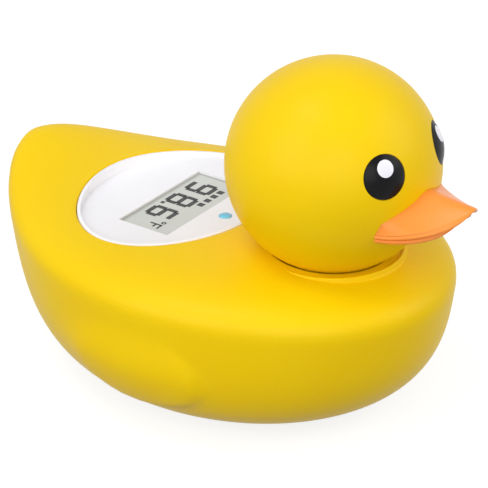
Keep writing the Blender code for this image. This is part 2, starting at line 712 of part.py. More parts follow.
def make_base_cover():
    """The plate that closes the hull, with the battery well, the bosses and the tongue."""
    base = as_part(hull_below("base_cover", BASE_TOP), "yellow_shell")
    block_l = WELL_HALF_L + WELL_SKIN
    block_w = WELL_HALF_W + WELL_SKIN
    roof = CELL_FLOOR + 2 * CELL_R + GAP
    root = BASE_TOP - WELL_ROOF
    block = rounded(block_l, block_w, BLOCK_CORNER, (WELL_X, 0.0))
    inner_tongue = seam_outline(TONGUE_INSET + TONGUE_WIDTH)
    well = plate("battery_well", [block], root + GAP, roof + WELL_ROOF)
    tongue_middle = seam_outline(TONGUE_INSET + TONGUE_WIDTH / 2)
    boolean(well, as_cutter(plate("tongue_bound", [tongue_middle], SEAM_Z - WALL, roof + WALL)), "INTERSECT")
    additions = [well]
    tongue = plate("tongue", [seam_outline(TONGUE_INSET), inner_tongue], root, TONGUE_TOP)
    for number, place in enumerate(POST_PLACES, 1):
        room = cylinder(f"post_room_{number}", POST_R + GAP, SEAM_Z - WALL, TONGUE_TOP + GAP, place)
        boolean(tongue, as_cutter(room))
    additions.append(tongue)
    additions.append(cylinder("probe_boss", PROBE_BOSS_R, root, PROBE_BOSS_TOP, (PROBE_X, PROBE_Y)))
    additions.append(cylinder("ear_boss", EAR_BOSS_R, root, EAR_BOSS_TOP, (EAR_X, EAR_Y), SMALL_SIDES))
    for number, x in enumerate(PIN_XS, 1):
        additions.append(cylinder(f"pin_boss_{number}", PIN_BOSS_R, root, PIN_BOSS_TOP, (x, PIN_Y), SMALL_SIDES))
    for piece in additions:
        boolean(base, as_cutter(piece), "UNION")

    below = -WALL
    space = rounded(WELL_HALF_L, WELL_HALF_W, WELL_CORNER, (WELL_X, 0.0))
    recess = rounded(WELL_HALF_L + LEDGE_STEP, WELL_HALF_W + LEDGE_STEP, WELL_CORNER + LEDGE_STEP, (WELL_X, 0.0))
    cuts = [plate("well_space", [space], below, roof)]
    cuts.append(plate("door_recess", [recess], below, DOOR_LEDGE_Z))
    cuts.append(cylinder("ear_recess", EAR_R + GAP, below, DOOR_TOP + GAP, (EAR_X, EAR_Y)))
    pilot_top = EAR_BOSS_TOP - WALL / 2
    cuts.append(cylinder("ear_pilot", SCREW_R + FIT, below, pilot_top, (EAR_X, EAR_Y), SCREW_SIDES))
    cuts.append(cylinder("probe_hole", PROBE_R + FIT, below, roof, (PROBE_X, PROBE_Y)))
    flange_room = PROBE_BOSS_TOP + FIT / 2
    cuts.append(cylinder("flange_room", PROBE_FLANGE_R + FIT, flange_room, roof + WALL, (PROBE_X, PROBE_Y)))
    for number, x in enumerate(PIN_XS, 1):
        cuts.append(cylinder(f"pin_hole_{number}", PIN_R + FIT, below, roof, (x, PIN_Y), SMALL_SIDES))
    for number, place in enumerate(POST_PLACES, 1):
        cuts.append(cylinder(f"base_bore_{number}", SCREW_R + FIT, below, SEAM_Z, place, SCREW_SIDES))
        cuts.append(cylinder(f"base_sink_{number}", SCREW_HEAD_R + GAP, below, BASE_SCREW_SEAT, place, SMALL_SIDES))
    for sign in (1, -1):
        low, high = hook_corners(sign)
        low = (low[0] - GAP, low[1] - GAP, low[2] - GAP)
        high = (high[0] + GAP, high[1], high[2] + GAP)
        cuts.append(box(f"hook_slot_{(3 - sign) // 2}", low, high))
    for number, sign in enumerate((1, -1), 1):
        x = WELL_X + WELL_HALF_L - GAP - PLATE_THICK / 2
        low = (x - PLATE_THICK / 2 - GAP, sign * CELL_PITCH / 2 - TAB_HALF - GAP, roof - GAP)
        high = (x + PLATE_THICK / 2 + GAP, sign * CELL_PITCH / 2 + TAB_HALF + GAP, roof + 2 * WELL_ROOF)
        cuts.append(box(f"tab_slot_{number}", low, high))
    for cut in cuts:
        boolean(base, as_cutter(cut))
    return base


def hook_corners(sign: int):
    """The two corners of one of the door's hooks."""
    edge = -(WELL_HALF_W + LEDGE_STEP - FIT)
    middle = WELL_X + sign * HOOK_X
    low = (middle - HOOK_WIDTH / 2, edge - HOOK_REACH, HOOK_BOTTOM)
    high = (middle + HOOK_WIDTH / 2, edge + HOOK_REACH, HOOK_TOP)
    return low, high


def make_battery_door():
    """The door follows the hull outside, with one screw ear and two hooks."""
    edge = LEDGE_STEP - FIT
    outline = rounded(WELL_HALF_L + edge, WELL_HALF_W + edge, WELL_CORNER + edge, (WELL_X, 0.0))
    door = as_part(plate("battery_door", [outline], -WALL, DOOR_TOP), "yellow_shell")
    boolean(door, as_cutter(cylinder("door_ear", EAR_R, -WALL, DOOR_TOP, (EAR_X, EAR_Y))), "UNION")
    boolean(door, as_cutter(hull_below("door_face", SEAM_Z)), "INTERSECT")
    for sign in (1, -1):
        boolean(door, as_cutter(box(f"door_hook_{(3 - sign) // 2}", *hook_corners(sign))), "UNION")
    boolean(door, as_cutter(cylinder("door_bore", SCREW_R + FIT, -WALL, SEAM_Z, (EAR_X, EAR_Y), SCREW_SIDES)))
    sink = DOOR_TOP - WALL / 4
    boolean(door, as_cutter(cylinder("door_sink", SCREW_HEAD_R + FIT, -WALL, sink, (EAR_X, EAR_Y), SMALL_SIDES)))
    low = DOOR_TOP - WALL / 4 - SCREW_HEAD_H - FIT / 2
    screw("door_screw", (EAR_X, EAR_Y), low, EAR_BOSS_TOP - DOOR_TOP - WALL)

    outer = rounded(WELL_HALF_L + edge, WELL_HALF_W + edge, WELL_CORNER + edge, (WELL_X, 0.0))
    inner = rounded(WELL_HALF_L + FIT, WELL_HALF_W + FIT, WELL_CORNER + FIT, (WELL_X, 0.0))
    seal_low = (DOOR_TOP + DOOR_LEDGE_Z - DOOR_SEAL_H) / 2
    as_part(plate("door_gasket", [outer, inner], seal_low, seal_low + DOOR_SEAL_H), "seal_rubber")


def make_base_fasteners():
    outer = seam_outline(SEAL_INSET)
    inner = seam_outline(SEAL_INSET + SEAL_WIDTH)
    as_part(plate("base_seal", [outer, inner], BASE_TOP + FIT, BASE_TOP + FIT + SEAL_HEIGHT), "seal_rubber")
    for number, place in enumerate(POST_PLACES, 1):
        screw(f"base_screw_{number}", place, BASE_SCREW_LOW, SCREW_LENGTH)


def make_head():
    """The hollow ball with its neck, spigot and eye seats, the ring that holds it down, and two screws."""
    centre = head_point(0, 0, 0)
    shell = as_part(ball("head_shell", HEAD_R, centre, 32, 16), "yellow_shell")
    boolean(shell, as_cutter(ball("head_cavity", HEAD_R - HEAD_WALL, centre, 18, 9)))
    inner_top = HEAD_Z - math.sqrt((HEAD_R - HEAD_WALL / 2) ** 2 - (SEAT_R - GAP) ** 2)
    neck = [(0.0, BOSS_BOTTOM + FIT), (SPIGOT_R, BOSS_BOTTOM + FIT), (SPIGOT_R, SEAT_Z + GAP)]
    neck += [(SEAT_R - GAP, SEAT_Z + GAP), (SEAT_R - GAP, inner_top), (0.0, inner_top)]
    boolean(shell, as_cutter(turned("neck", neck, upright(HEAD_X, 0.0))), "UNION")
    bore = cylinder("neck_bore", SPIGOT_BORE_R, BOSS_BOTTOM - GAP, HEAD_Z, (HEAD_X, 0.0), 14)
    boolean(shell, as_cutter(bore))
    low = (HEAD_X + TENON_INNER - HEAD_WALL, -TENON_HALF_Y - FIT, HEAD_Z - TENON_BOTTOM - FIT)
    high = (HEAD_X + TENON_OUTER, TENON_HALF_Y + FIT, HEAD_Z - TENON_TOP + FIT)
    boolean(shell, as_cutter(box("tenon_slot", low, high)))
    for side, word in ((1, "left"), (-1, "right")):
        seat = [(0.0, HEAD_R - EYE_PEG_END - HEAD_WALL), (EYE_PEG_R + FIT, HEAD_R - EYE_PEG_END - HEAD_WALL)]
        seat += [(EYE_PEG_R + FIT, HEAD_R - EYE_SEAT), (EYE_R + FIT, HEAD_R - EYE_SEAT)]
        seat += [(EYE_R + FIT, HEAD_R + EYE_BULGE), (0.0, HEAD_R + EYE_BULGE)]
        boolean(shell, as_cutter(turned(f"eye_seat_{word}", seat, eye_frame(side), ROUND_SIDES)))

    retainer_top = BOSS_BOTTOM - FIT
    ring = [circle(RETAINER_R, (HEAD_X, 0.0), ROUND_SIDES), circle(SPIGOT_BORE_R, (HEAD_X, 0.0), ROUND_SIDES)]
    for sign in (1, -1):
        ring.append(circle(SCREW_R + FIT, (HEAD_X, sign * NECK_SCREW_OFFSET), SCREW_SIDES))
    as_part(plate("neck_retainer", ring, retainer_top - RETAINER_H, retainer_top), "frame_grey")
    for number, sign in enumerate((1, -1), 1):
        place = (HEAD_X, sign * NECK_SCREW_OFFSET)
        pilot_top = BOSS_BOTTOM + NECK_SCREW_LENGTH
        pilot = cylinder(f"neck_pilot_{number}", SCREW_R + FIT, BOSS_BOTTOM - GAP, pilot_top, place, SCREW_SIDES)
        boolean(shell, as_cutter(pilot))
        screw(f"neck_screw_{number}", place, retainer_top - RETAINER_H - FIT - SCREW_HEAD_H, NECK_SCREW_LENGTH)
    return shell


def make_eye(side: int, word: str):
    """One domed eye on its peg, with the white highlight set into its dome."""
    rim = math.sqrt(HEAD_R**2 - EYE_R**2)
    crown = HEAD_R + EYE_BULGE
    rise = crown - rim
    dome_r = (EYE_R**2 + rise**2) / (2 * rise)
    floor = HEAD_R - EYE_SEAT + FIT

    def dome(radius: float) -> float:
        return crown - dome_r + math.sqrt(dome_r**2 - radius**2)

    shares = (1.0, 0.9, 0.68, 0.36)
    profile = [(0.0, HEAD_R - EYE_PEG_END), (EYE_PEG_R, HEAD_R - EYE_PEG_END), (EYE_PEG_R, floor), (EYE_R, floor)]
    profile += [(EYE_R * share, dome(EYE_R * share)) for share in shares]
    profile += [(0.0, crown)]
    frame = eye_frame(side)
    eye = as_part(turned(f"eye_{word}", profile, frame, ROUND_SIDES), "eye_black")
    offset = frame @ Matrix.Translation((0.0, HIGHLIGHT_OFFSET, 0.0))
    base = dome(HIGHLIGHT_OFFSET + HIGHLIGHT_R) - HIGHLIGHT_DEPTH
    pocket = [(0.0, base - FIT), (HIGHLIGHT_R + FIT, base - FIT), (HIGHLIGHT_R + FIT, crown + EYE_BULGE)]
    pocket += [(0.0, crown + EYE_BULGE)]
    boolean(eye, as_cutter(turned(f"highlight_pocket_{word}", pocket, offset, SMALL_SIDES)))
    plug = [(0.0, base), (HIGHLIGHT_R, base), (HIGHLIGHT_R, crown + EYE_BULGE), (0.0, crown + EYE_BULGE)]
    highlight = as_part(turned(f"eye_highlight_{word}", plug, offset, SMALL_SIDES), "eye_white")
    whole = [(0.0, floor - EYE_SEAT), (EYE_R, floor - EYE_SEAT)] + profile[4:]
    boolean(highlight, as_cutter(turned(f"eye_dome_{word}", whole, frame, ROUND_SIDES)), "INTERSECT")


def beak_section(turn: float):
    """One closed section of the bill, from the head outward over the upper lip and back along the lower one."""
    aside = math.sin(turn)
    ahead = abs(math.cos(turn)) ** (2 / BEAK_SQUARE)
    y_lip = BEAK_HALF_WIDTH * signed_power(aside, 2 / BEAK_SQUARE)
    x_lip = BEAK_ROOT_X + BEAK_REACH * ahead
    across = abs(y_lip) / BEAK_HALF_WIDTH
    z_lip = -BEAK_TIP_DROP - BEAK_CORNER_DROP * across**BEAK_LIP_CURVE
    y_root = BEAK_HALF_WIDTH * aside * 0.95
    z_root = -BEAK_ARCH_TOP - BEAK_ARCH_FALL * abs(aside) **BEAK_ARCH_CURVE
    x_root = math.sqrt(HEAD_R**2 - y_root**2 - z_root**2)
    reach = math.hypot(x_lip - x_root, y_lip - y_root)
    size = 0.35 + 0.65 * ahead
    points = [(BEAK_INNER_X, 0.85 * y_root, z_root), (x_root - HEAD_WALL, 0.93 * y_root, z_root)]
    for share in (0.0, 0.16, 0.34, 0.54, 0.76):
        z = z_root + (z_lip - z_root) * (1.0 - (1.0 - share) ** BEAK_SADDLE)
        points.append((x_root + (x_lip - x_root) * share, y_root + (y_lip - y_root) * share, z))
    out_x = math.cos(turn)
    out_y = aside
    lower = LOWER_LIP_INSET + LIP_ROUND
    rim = [(0.0, 0.0), (0.7 * LIP_ROUND, 0.2 * LIP_THICK), (LIP_ROUND, 0.55 * LIP_THICK)]
    rim += [(0.6 * LIP_ROUND, LIP_THICK), (-MOUTH_DEPTH, LIP_THICK), (-MOUTH_DEPTH, LIP_THICK + MOUTH_HEIGHT)]
    rim += [(-lower + LIP_ROUND, LIP_THICK + MOUTH_HEIGHT), (-lower + 1.5 * LIP_ROUND, LIP_THICK + 0.7 * LOWER_LIP)]
    rim += [(-lower, LIP_THICK + MOUTH_HEIGHT + LOWER_LIP)]
    for out, down in rim:
        step = (out - LIP_ROUND) * size
        points.append((x_lip + step * out_x, y_lip + step * out_y, z_lip - down * size))
    z_floor = -BEAK_FLOOR
    points.append((x_root - HEAD_WALL, 0.9 * y_root, z_floor))
    points.append((BEAK_INNER_X, 0.85 * y_root, z_floor))
    return [head_point(*point) for point in points]


def make_beak():
    """The orange bill, one moulding with a mouth groove, hollowed to sit on the ball and keyed by a tenon."""
    rings = [beak_section(math.radians(-88 + 176 * i / (BEAK_COLUMNS - 1))) for i in range(BEAK_COLUMNS)]
    bill = as_part(loft("beak", rings), "orange_beak")
    boolean(bill, as_cutter(ball("beak_seat", HEAD_R + FIT, head_point(0, 0, 0), 38, 19)))
    low = head_point(TENON_INNER, -TENON_HALF_Y, -TENON_BOTTOM)
    high = head_point(TENON_OUTER, TENON_HALF_Y, -TENON_TOP)
    boolean(bill, as_cutter(box("tenon", low, high)), "UNION")
    return bill


def make_display():
    """The white oval bezel and the stack under it, down to the circuit board."""
    under = PANEL_Z - PANEL_THICK
    pocket_a = OVAL_A - FIT
    pocket_b = OVAL_B - FIT
    bezel_oval = oval(pocket_a, pocket_b, OVAL_X)
    bezel = as_part(plate("display_bezel", [bezel_oval], under, PANEL_Z + TAIL_LIFT), "white_panel")
    boolean(bezel, as_cutter(hull_above("bezel_top", SHELL_BOTTOM)), "INTERSECT")
    dish = oval(pocket_a - RIM_WIDTH, pocket_b - RIM_WIDTH, OVAL_X)
    boolean(bezel, as_cutter(plate("bezel_dish", [dish], PANEL_Z, PANEL_Z + TAIL_LIFT)))
    centre_x = OVAL_X + WINDOW_X
    for number, place in enumerate(PANEL_POST_PLACES, 1):
        post = cylinder(f"panel_post_{number}", PANEL_POST_R, PCB_TOP + FIT, under + FIT, place, SMALL_SIDES)
        boolean(bezel, as_cutter(post), "UNION")
    for number, place in enumerate(PANEL_POST_PLACES, 1):
        pilot_top = PCB_TOP + PCB_SCREW_LENGTH
        pilot = cylinder(f"panel_pilot_{number}", PCB_SCREW_R + FIT, PCB_TOP, pilot_top, place, SCREW_SIDES)
        boolean(bezel, as_cutter(pilot))
    hole = rounded(WINDOW_W / 2, WINDOW_L / 2, WINDOW_ROUND, (centre_x, 0.0))
    boolean(bezel, as_cutter(plate("window_hole", [hole], under - GAP, PANEL_Z + GAP)))
    led = (OVAL_X + LED_X, 0.0)
    boolean(bezel, as_cutter(cylinder("led_hole", LENS_R + FIT, under - GAP, PANEL_Z + GAP, led, SMALL_SIDES)))

    inner = oval(pocket_a - GASKET_WIDTH, pocket_b - GASKET_WIDTH, OVAL_X)
    as_part(plate("bezel_gasket", [bezel_oval, inner], LEDGE_Z + FIT, under - FIT), "seal_rubber")

    flange_top = under - FIT
    flange_low = flange_top - FLANGE_THICK
    half_w = WINDOW_W / 2 + FLANGE_REACH_X
    half_l = WINDOW_L / 2 + FLANGE_REACH
    flange = rounded(half_w, half_l, WINDOW_ROUND, (centre_x, 0.0))
    window = as_part(plate("lcd_window", [flange], flange_low, flange_top), "window_clear")
    pane = rounded(WINDOW_W / 2 - FIT, WINDOW_L / 2 - FIT, WINDOW_ROUND - FIT, (centre_x, 0.0))
    raised = plate("window_pane", [pane], flange_low + FIT, PANEL_Z - WINDOW_RECESS)
    boolean(window, as_cutter(raised), "UNION")

    lcd_top = flange_low - FIT
    lcd_low = lcd_top - LCD_THICK
    low = (centre_x - half_w + FIT, -half_l + FIT, lcd_low)
    high = (centre_x + half_w - FIT, half_l - FIT, lcd_top)
    as_part(box("lcd_panel", low, high), "lcd_glass")
    holder = [rounded(half_w + FRAME_WALL, half_l + FRAME_WALL, WINDOW_ROUND, (centre_x, 0.0))]
    holder.append(rounded(half_w, half_l, WINDOW_ROUND / 2, (centre_x, 0.0)))
    as_part(plate("lcd_frame", holder, PCB_TOP + FIT, lcd_top), "frame_grey")
    for word, sign in (("front", 1), ("rear", -1)):
        x = centre_x + sign * ZEBRA_OFFSET
        low = (x - ZEBRA_WIDTH / 2, -half_l + ZEBRA_TRIM, PCB_TOP + FIT)
        high = (x + ZEBRA_WIDTH / 2, half_l - ZEBRA_TRIM, lcd_low - FIT)
        as_part(box(f"zebra_strip_{word}", low, high), "zebra_rubber")
    make_led(led, under)
    make_board()


def make_led(place, under: float):
    """The indicator light on the board, and the blue lens over it."""
    flange_top = under - FIT
    flange_low = flange_top - LENS_FLANGE_H
    crown = PANEL_Z + LENS_PROUD
    lens = [(0.0, flange_low), (LENS_FLANGE_R, flange_low), (LENS_FLANGE_R, flange_top), (LENS_R, flange_top)]
    lens += [(LENS_R, PANEL_Z), (0.9 * LENS_R, PANEL_Z + 0.5 * LENS_PROUD), (0.5 * LENS_R, PANEL_Z + 0.9 * LENS_PROUD)]
    lens += [(0.0, crown)]
    as_part(turned("led_lens", lens, upright(*place), ROUND_SIDES), "led_blue")
    low = PCB_TOP + FIT
    top = flange_low - FIT
    body = [(0.0, low), (LED_FLANGE_R, low), (LED_FLANGE_R, low + LED_FLANGE_H), (LED_R, low + LED_FLANGE_H)]
    body += [(LED_R, top - LED_R)]
    body += [(LED_R * math.cos(a), top - LED_R + LED_R * math.sin(a)) for a in steps_between(22, 68, 2)]
    body += [(0.0, top)]
    as_part(turned("indicator_led", body, upright(*place), SMALL_SIDES), "led_blue")


def make_board():
    """The circuit board, its controller under a drop of epoxy, and its four screws."""
    outline = [oval(PCB_A, PCB_B, OVAL_X)]
    outline += [circle(PCB_SCREW_R + FIT, place, SCREW_SIDES) for place in PANEL_POST_PLACES]
    low = PCB_TOP - PCB_THICK
    as_part(plate("main_pcb", outline, low, PCB_TOP), "board_green")
    top = low - FIT
    blob = [(0.0, top - BLOB_H)]
    blob += [(BLOB_R * math.cos(a), top - BLOB_H * math.sin(a)) for a in reversed(steps_between(0, 70, 4))]
    blob += [(0.0, top)]
    as_part(turned("controller_blob", blob, upright(OVAL_X + BLOB_X, 0.0), ROUND_SIDES), "epoxy_black")
    head_low = low - FIT - SCREW_HEAD_H
    for number, place in enumerate(PANEL_POST_PLACES, 1):
        length = PCB_SCREW_LENGTH + PCB_THICK - GAP
        screw(f"pcb_screw_{number}", place, head_low, length, PCB_SCREW_R, SCREW_HEAD_R - 2 * FIT)


def lying(x: float, y: float, z: float, sign: int) -> Matrix:
    """Local Z along +X or -X, from this point."""
    return Matrix.Translation((x, y, z)) @ Matrix.Rotation(sign * math.pi / 2, 4, "Y")


def make_cells():
    """Two cells side by side, head to tail, with their contacts."""
    middle_z = CELL_FLOOR + CELL_R
    front = WELL_X + WELL_HALF_L
    rear = WELL_X - WELL_HALF_L
    stop = GAP + PLATE_THICK + GAP
    shoulder = CELL_LENGTH - NUB_LENGTH
    ease = 0.6 * MM
    profile = [(0.0, 0.0), (CELL_R - ease, 0.0), (CELL_R, ease), (CELL_R, shoulder - ease), (CELL_R - ease, shoulder)]
    profile += [(NUB_R, shoulder), (NUB_R, CELL_LENGTH), (0.0, CELL_LENGTH)]
    for number, sign in ((1, 1), (2, -1)):
        y = sign * CELL_PITCH / 2
        wall = front if sign > 0 else rear
        start = wall - sign * (stop + CELL_LENGTH)
        cell = turned(f"battery_cell_{number}", profile, lying(start, y, middle_z, sign))
        as_part(cell, "cell_sleeve")
        spring_end = (rear if sign > 0 else front) + sign * stop
        points = []
        count = int(SPRING_TURNS * SPRING_POINTS)
        first = spring_end + sign * SPRING_WIRE_R
        last = start - sign * (GAP + SPRING_WIRE_R)
        for i in range(count + 1):
            share = i / count
            angle = math.tau * SPRING_TURNS * share
            radius = SPRING_R * (1.0 + 0.25 * (1.0 - share))
            x = first + (last - first) * share
            points.append((x, y + radius * math.cos(angle), middle_z + radius * math.sin(angle)))
        as_part(tube(f"battery_spring_{number}", points, SPRING_WIRE_R), "spring_steel")
    roof = CELL_FLOOR + 2 * CELL_R + GAP
    for word, sign in (("positive", 1), ("negative", -1)):
        y = sign * CELL_PITCH / 2
        x = front - GAP - PLATE_THICK
        low = (x, y - PLATE_HALF, middle_z - PLATE_HALF)
        high = (x + PLATE_THICK, y + PLATE_HALF, middle_z + PLATE_HALF)
        contact = as_part(box(f"contact_{word}", low, high), "spring_steel")
        low = (x, y - TAB_HALF, middle_z)
        high = (x + PLATE_THICK, y + TAB_HALF, roof + TAB_RISE)
        boolean(contact, as_cutter(box(f"contact_tab_{word}", low, high)), "UNION")
    low = (rear + GAP, -CELL_PITCH / 2 - PLATE_HALF, middle_z - PLATE_HALF)
    high = (rear + GAP + PLATE_THICK, CELL_PITCH / 2 + PLATE_HALF, middle_z + PLATE_HALF)
    as_part(box("contact_bridge", low, high), "spring_steel")


def make_probe():
    """The steel cup that feels the water, its seal and the thermistor in it, and the two water contacts."""
    place = upright(PROBE_X, PROBE_Y)
    seal_low = PROBE_BOSS_TOP + FIT
    seal_top = seal_low + PROBE_SEAL_H
    flange_low = seal_top + FIT
    flange_top = flange_low + PROBE_FLANGE_H
    ease = 0.3 * MM
    inner = PROBE_R - PROBE_WALL
    cap = [(0.0, PROBE_BOTTOM), (PROBE_R - ease, PROBE_BOTTOM), (PROBE_R, PROBE_BOTTOM + ease)]
    cap += [(PROBE_R, flange_low), (PROBE_FLANGE_R, flange_low), (PROBE_FLANGE_R, flange_top), (inner, flange_top)]
    cap += [(inner, PROBE_BOTTOM + PROBE_WALL), (0.0, PROBE_BOTTOM + PROBE_WALL)]
    as_part(turned("probe_cap", cap, place), "steel")
    seal = [(PROBE_R + FIT, seal_low), (PROBE_FLANGE_R, seal_low), (PROBE_FLANGE_R, seal_top), (PROBE_R + FIT, seal_top)]
    as_part(turned("probe_seal", seal, place), "seal_rubber")
    low = PROBE_BOTTOM + PROBE_WALL + FIT
    middle = low + THERMISTOR_H / 2
    bead = [(0.0, low)]
    half = THERMISTOR_H / 2
    bead += [(THERMISTOR_R * math.cos(a), middle + half * math.sin(a)) for a in steps_between(-60, 60, 4)]
    bead += [(0.0, low + THERMISTOR_H)]
    as_part(turned("thermistor", bead, place, SMALL_SIDES), "epoxy_black")
    for number, x in enumerate(PIN_XS, 1):
        flange = PIN_BOSS_TOP + FIT
        pin = [(0.0, PIN_BOTTOM), (PIN_R, PIN_BOTTOM), (PIN_R, flange), (PIN_FLANGE_R, flange)]
        pin += [(PIN_FLANGE_R, flange + PIN_FLANGE_H), (PIN_R, flange + PIN_FLANGE_H), (PIN_R, PIN_TOP), (0.0, PIN_TOP)]
        as_part(turned(f"water_pin_{number}", pin, upright(x, PIN_Y), SMALL_SIDES), "steel")


def lead(name: str, start, end, finish: str):
    """A wire that rises from one pad, swings over and meets the board from below."""
    rise = end[2] - start[2]
    points = []
    for i in range(LEAD_POINTS + 1):
        share = i / LEAD_POINTS
        swing = smooth(share)
        x = start[0] + (end[0] - start[0]) * swing
        y = start[1] + (end[1] - start[1]) * swing
        points.append((x, y, start[2] + rise * share))
    as_part(tube(name, points, LEAD_R), finish)


def make_leads():
    """The wires between the contacts in the base and the underside of the board."""
    pads_z = PCB_TOP - PCB_THICK - GAP
    roof = CELL_FLOOR + 2 * CELL_R + GAP
    tab_x = WELL_X + WELL_HALF_L - GAP - PLATE_THICK / 2
    tab_z = roof + TAB_RISE + GAP
    board_x = OVAL_X + PCB_A
    for word, sign, finish in (("positive", 1, "lead_red"), ("negative", -1, "lead_black")):
        start = (tab_x, sign * CELL_PITCH / 2, tab_z)
        lead(f"battery_lead_{word}", start, (board_x - LEAD_SPACING, start[1], pads_z), finish)
    start = (PROBE_X, PROBE_Y, PROBE_BOTTOM + PROBE_WALL + FIT + THERMISTOR_H + GAP)
    lead("probe_lead", start, (board_x - 2 * LEAD_SPACING, 0.75 * PROBE_Y, pads_z), "lead_black")
    for number, x in enumerate(PIN_XS, 1):
        end = (board_x - (len(PIN_XS) + 1 - number) * LEAD_SPACING, 0.75 * PIN_Y, pads_z)
        lead(f"pin_lead_{number}", (x, PIN_Y, PIN_TOP + GAP), end, "lead_red")


def main() -> None:
    make_body_shell()
    make_base_cover()
    make_battery_door()
    make_base_fasteners()
    make_head()
    for side, word in ((1, "left"), (-1, "right")):
        make_eye(side, word)
    make_beak()
    make_display()
    make_cells()
    make_probe()
    make_leads()


main()
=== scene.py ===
"""Looks of the duck-shaped bath thermometer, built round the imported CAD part.

The moulded hull, the head, the bill, the eyes and the display are modelled again here with smooth skins, and every
part that stays from the CAD model gets its own procedural finish. All lengths are in metres, in the CAD part's frame.
"""

import json
import logging
import math
from collections.abc import Iterator
from contextlib import contextmanager
from dataclasses import dataclass, field
from enum import Enum

import bmesh
import bpy
from bpy.types import Material, Node, NodeSocket, NodeTree, Object
from mathutils import Matrix, Vector


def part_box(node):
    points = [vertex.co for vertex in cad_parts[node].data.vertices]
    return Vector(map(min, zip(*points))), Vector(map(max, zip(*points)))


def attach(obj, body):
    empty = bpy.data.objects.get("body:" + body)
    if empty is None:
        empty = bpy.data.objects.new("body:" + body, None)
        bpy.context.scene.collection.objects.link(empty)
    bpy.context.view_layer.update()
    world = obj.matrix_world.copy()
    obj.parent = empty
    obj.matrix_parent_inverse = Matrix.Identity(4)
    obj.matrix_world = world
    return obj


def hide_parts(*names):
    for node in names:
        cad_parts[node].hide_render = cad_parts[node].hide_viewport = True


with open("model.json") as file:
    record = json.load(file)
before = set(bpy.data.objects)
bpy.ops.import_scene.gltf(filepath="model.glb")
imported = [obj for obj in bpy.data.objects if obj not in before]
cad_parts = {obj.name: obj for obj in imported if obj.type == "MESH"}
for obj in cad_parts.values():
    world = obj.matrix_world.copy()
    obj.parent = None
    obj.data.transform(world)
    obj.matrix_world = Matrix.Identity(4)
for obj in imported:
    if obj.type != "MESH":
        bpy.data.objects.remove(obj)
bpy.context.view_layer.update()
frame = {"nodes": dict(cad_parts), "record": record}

LOG = logging.getLogger("bath_thermometer")
MM = 0.001
NUDGE = 0.01 * MM  # where a profile turns square, a step too small to see
NIL = 1e-9  # shorter than any edge
BODY = "root"
UP = Vector((0.0, 0.0, 1.0))
ORIGIN = Vector()
WHITE = "#FFFFFF"
NOISE = "ShaderNodeTexNoise"

# Most of a noise's values lie in this part of its range.
NOISE_LOW, NOISE_HIGH = 0.3, 0.7
# The Mix node's sockets for colours: inputs for share, first and second, and the output.
MIX_SHARE, MIX_FIRST, MIX_SECOND, MIX_RESULT = 0, 6, 7, 2
# The Wave node turns this many radians for each unit of scale and length.
WAVE_TURN = 20.0


class Slot(Enum):
    """The record's material slots."""

    SHELL = "yellow_shell"
    BEAK = "orange_beak"
    EYE = "eye_black"
    GLINT = "eye_white"
    PANEL = "white_panel"
    WINDOW = "window_clear"
    DISPLAY = "lcd_glass"
    FRAME = "frame_grey"
    LED = "led_blue"
    RUBBER = "seal_rubber"
    BOARD = "board_green"
    EPOXY = "epoxy_black"
    ZEBRA = "zebra_rubber"
    STEEL = "steel"
    SCREW = "screw_steel"
    SPRING = "spring_steel"
    SLEEVE = "cell_sleeve"
    LEAD_RED = "lead_red"
    LEAD_BLACK = "lead_black"


# Colour and shader graphs


def linear(hex_colour: str) -> tuple[float, float, float, float]:
    """Turns an sRGB hex colour to the linear values that Blender's sockets take.

    Args:
        hex_colour: Six hex digits after a hash.

    Returns:
        Linear red, green and blue, and 1 for alpha.
    """
    shares = [int(hex_colour[i : i + 2], 16) / 255 for i in (1, 3, 5)]
    red, green, blue = [s / 12.92 if s <= 0.04045 else ((s + 0.055) / 1.055) ** 2.4 for s in shares]
    return red, green, blue, 1.0


def add_node(tree: NodeTree, kind: str, inputs: dict | None = None, **settings: object) -> Node:
    """Adds one shader node with its settings, values and links.

    Args:
        tree: The tree that takes it.
        kind: Blender's name for the node's type.
        inputs: A value or an output socket for each input, by name or number.
        settings: Properties of the node itself.

    Returns:
        The new node.
    """
    node = tree.nodes.new(kind)
    for name, value in settings.items():
        setattr(node, name, value)
    for key, value in (inputs or {}).items():
        if isinstance(value, NodeSocket):
            tree.links.new(value, node.inputs[key])
        else:
            node.inputs[key].default_value = value
    return node


def blobs(place: NodeSocket, size_mm: float, detail: float = 2.0) -> dict:
    """Inputs of a noise whose blobs have a real size.

    Args:
        place: The coordinates it reads.
        size_mm: Width of one blob.
        detail: Octaves.

    Returns:
        A value for each input.
    """
    return {"Vector": place, "Scale": 1.0 / (size_mm * MM), "Detail": detail}


@dataclass(frozen=True)
class Graph:
    """A material's nodes while they are laid out.

    Attributes:
        tree: The node tree.
        shader: Its Principled shader.
        place: Object coordinates.
    """

    tree: NodeTree
    shader: Node
    place: NodeSocket


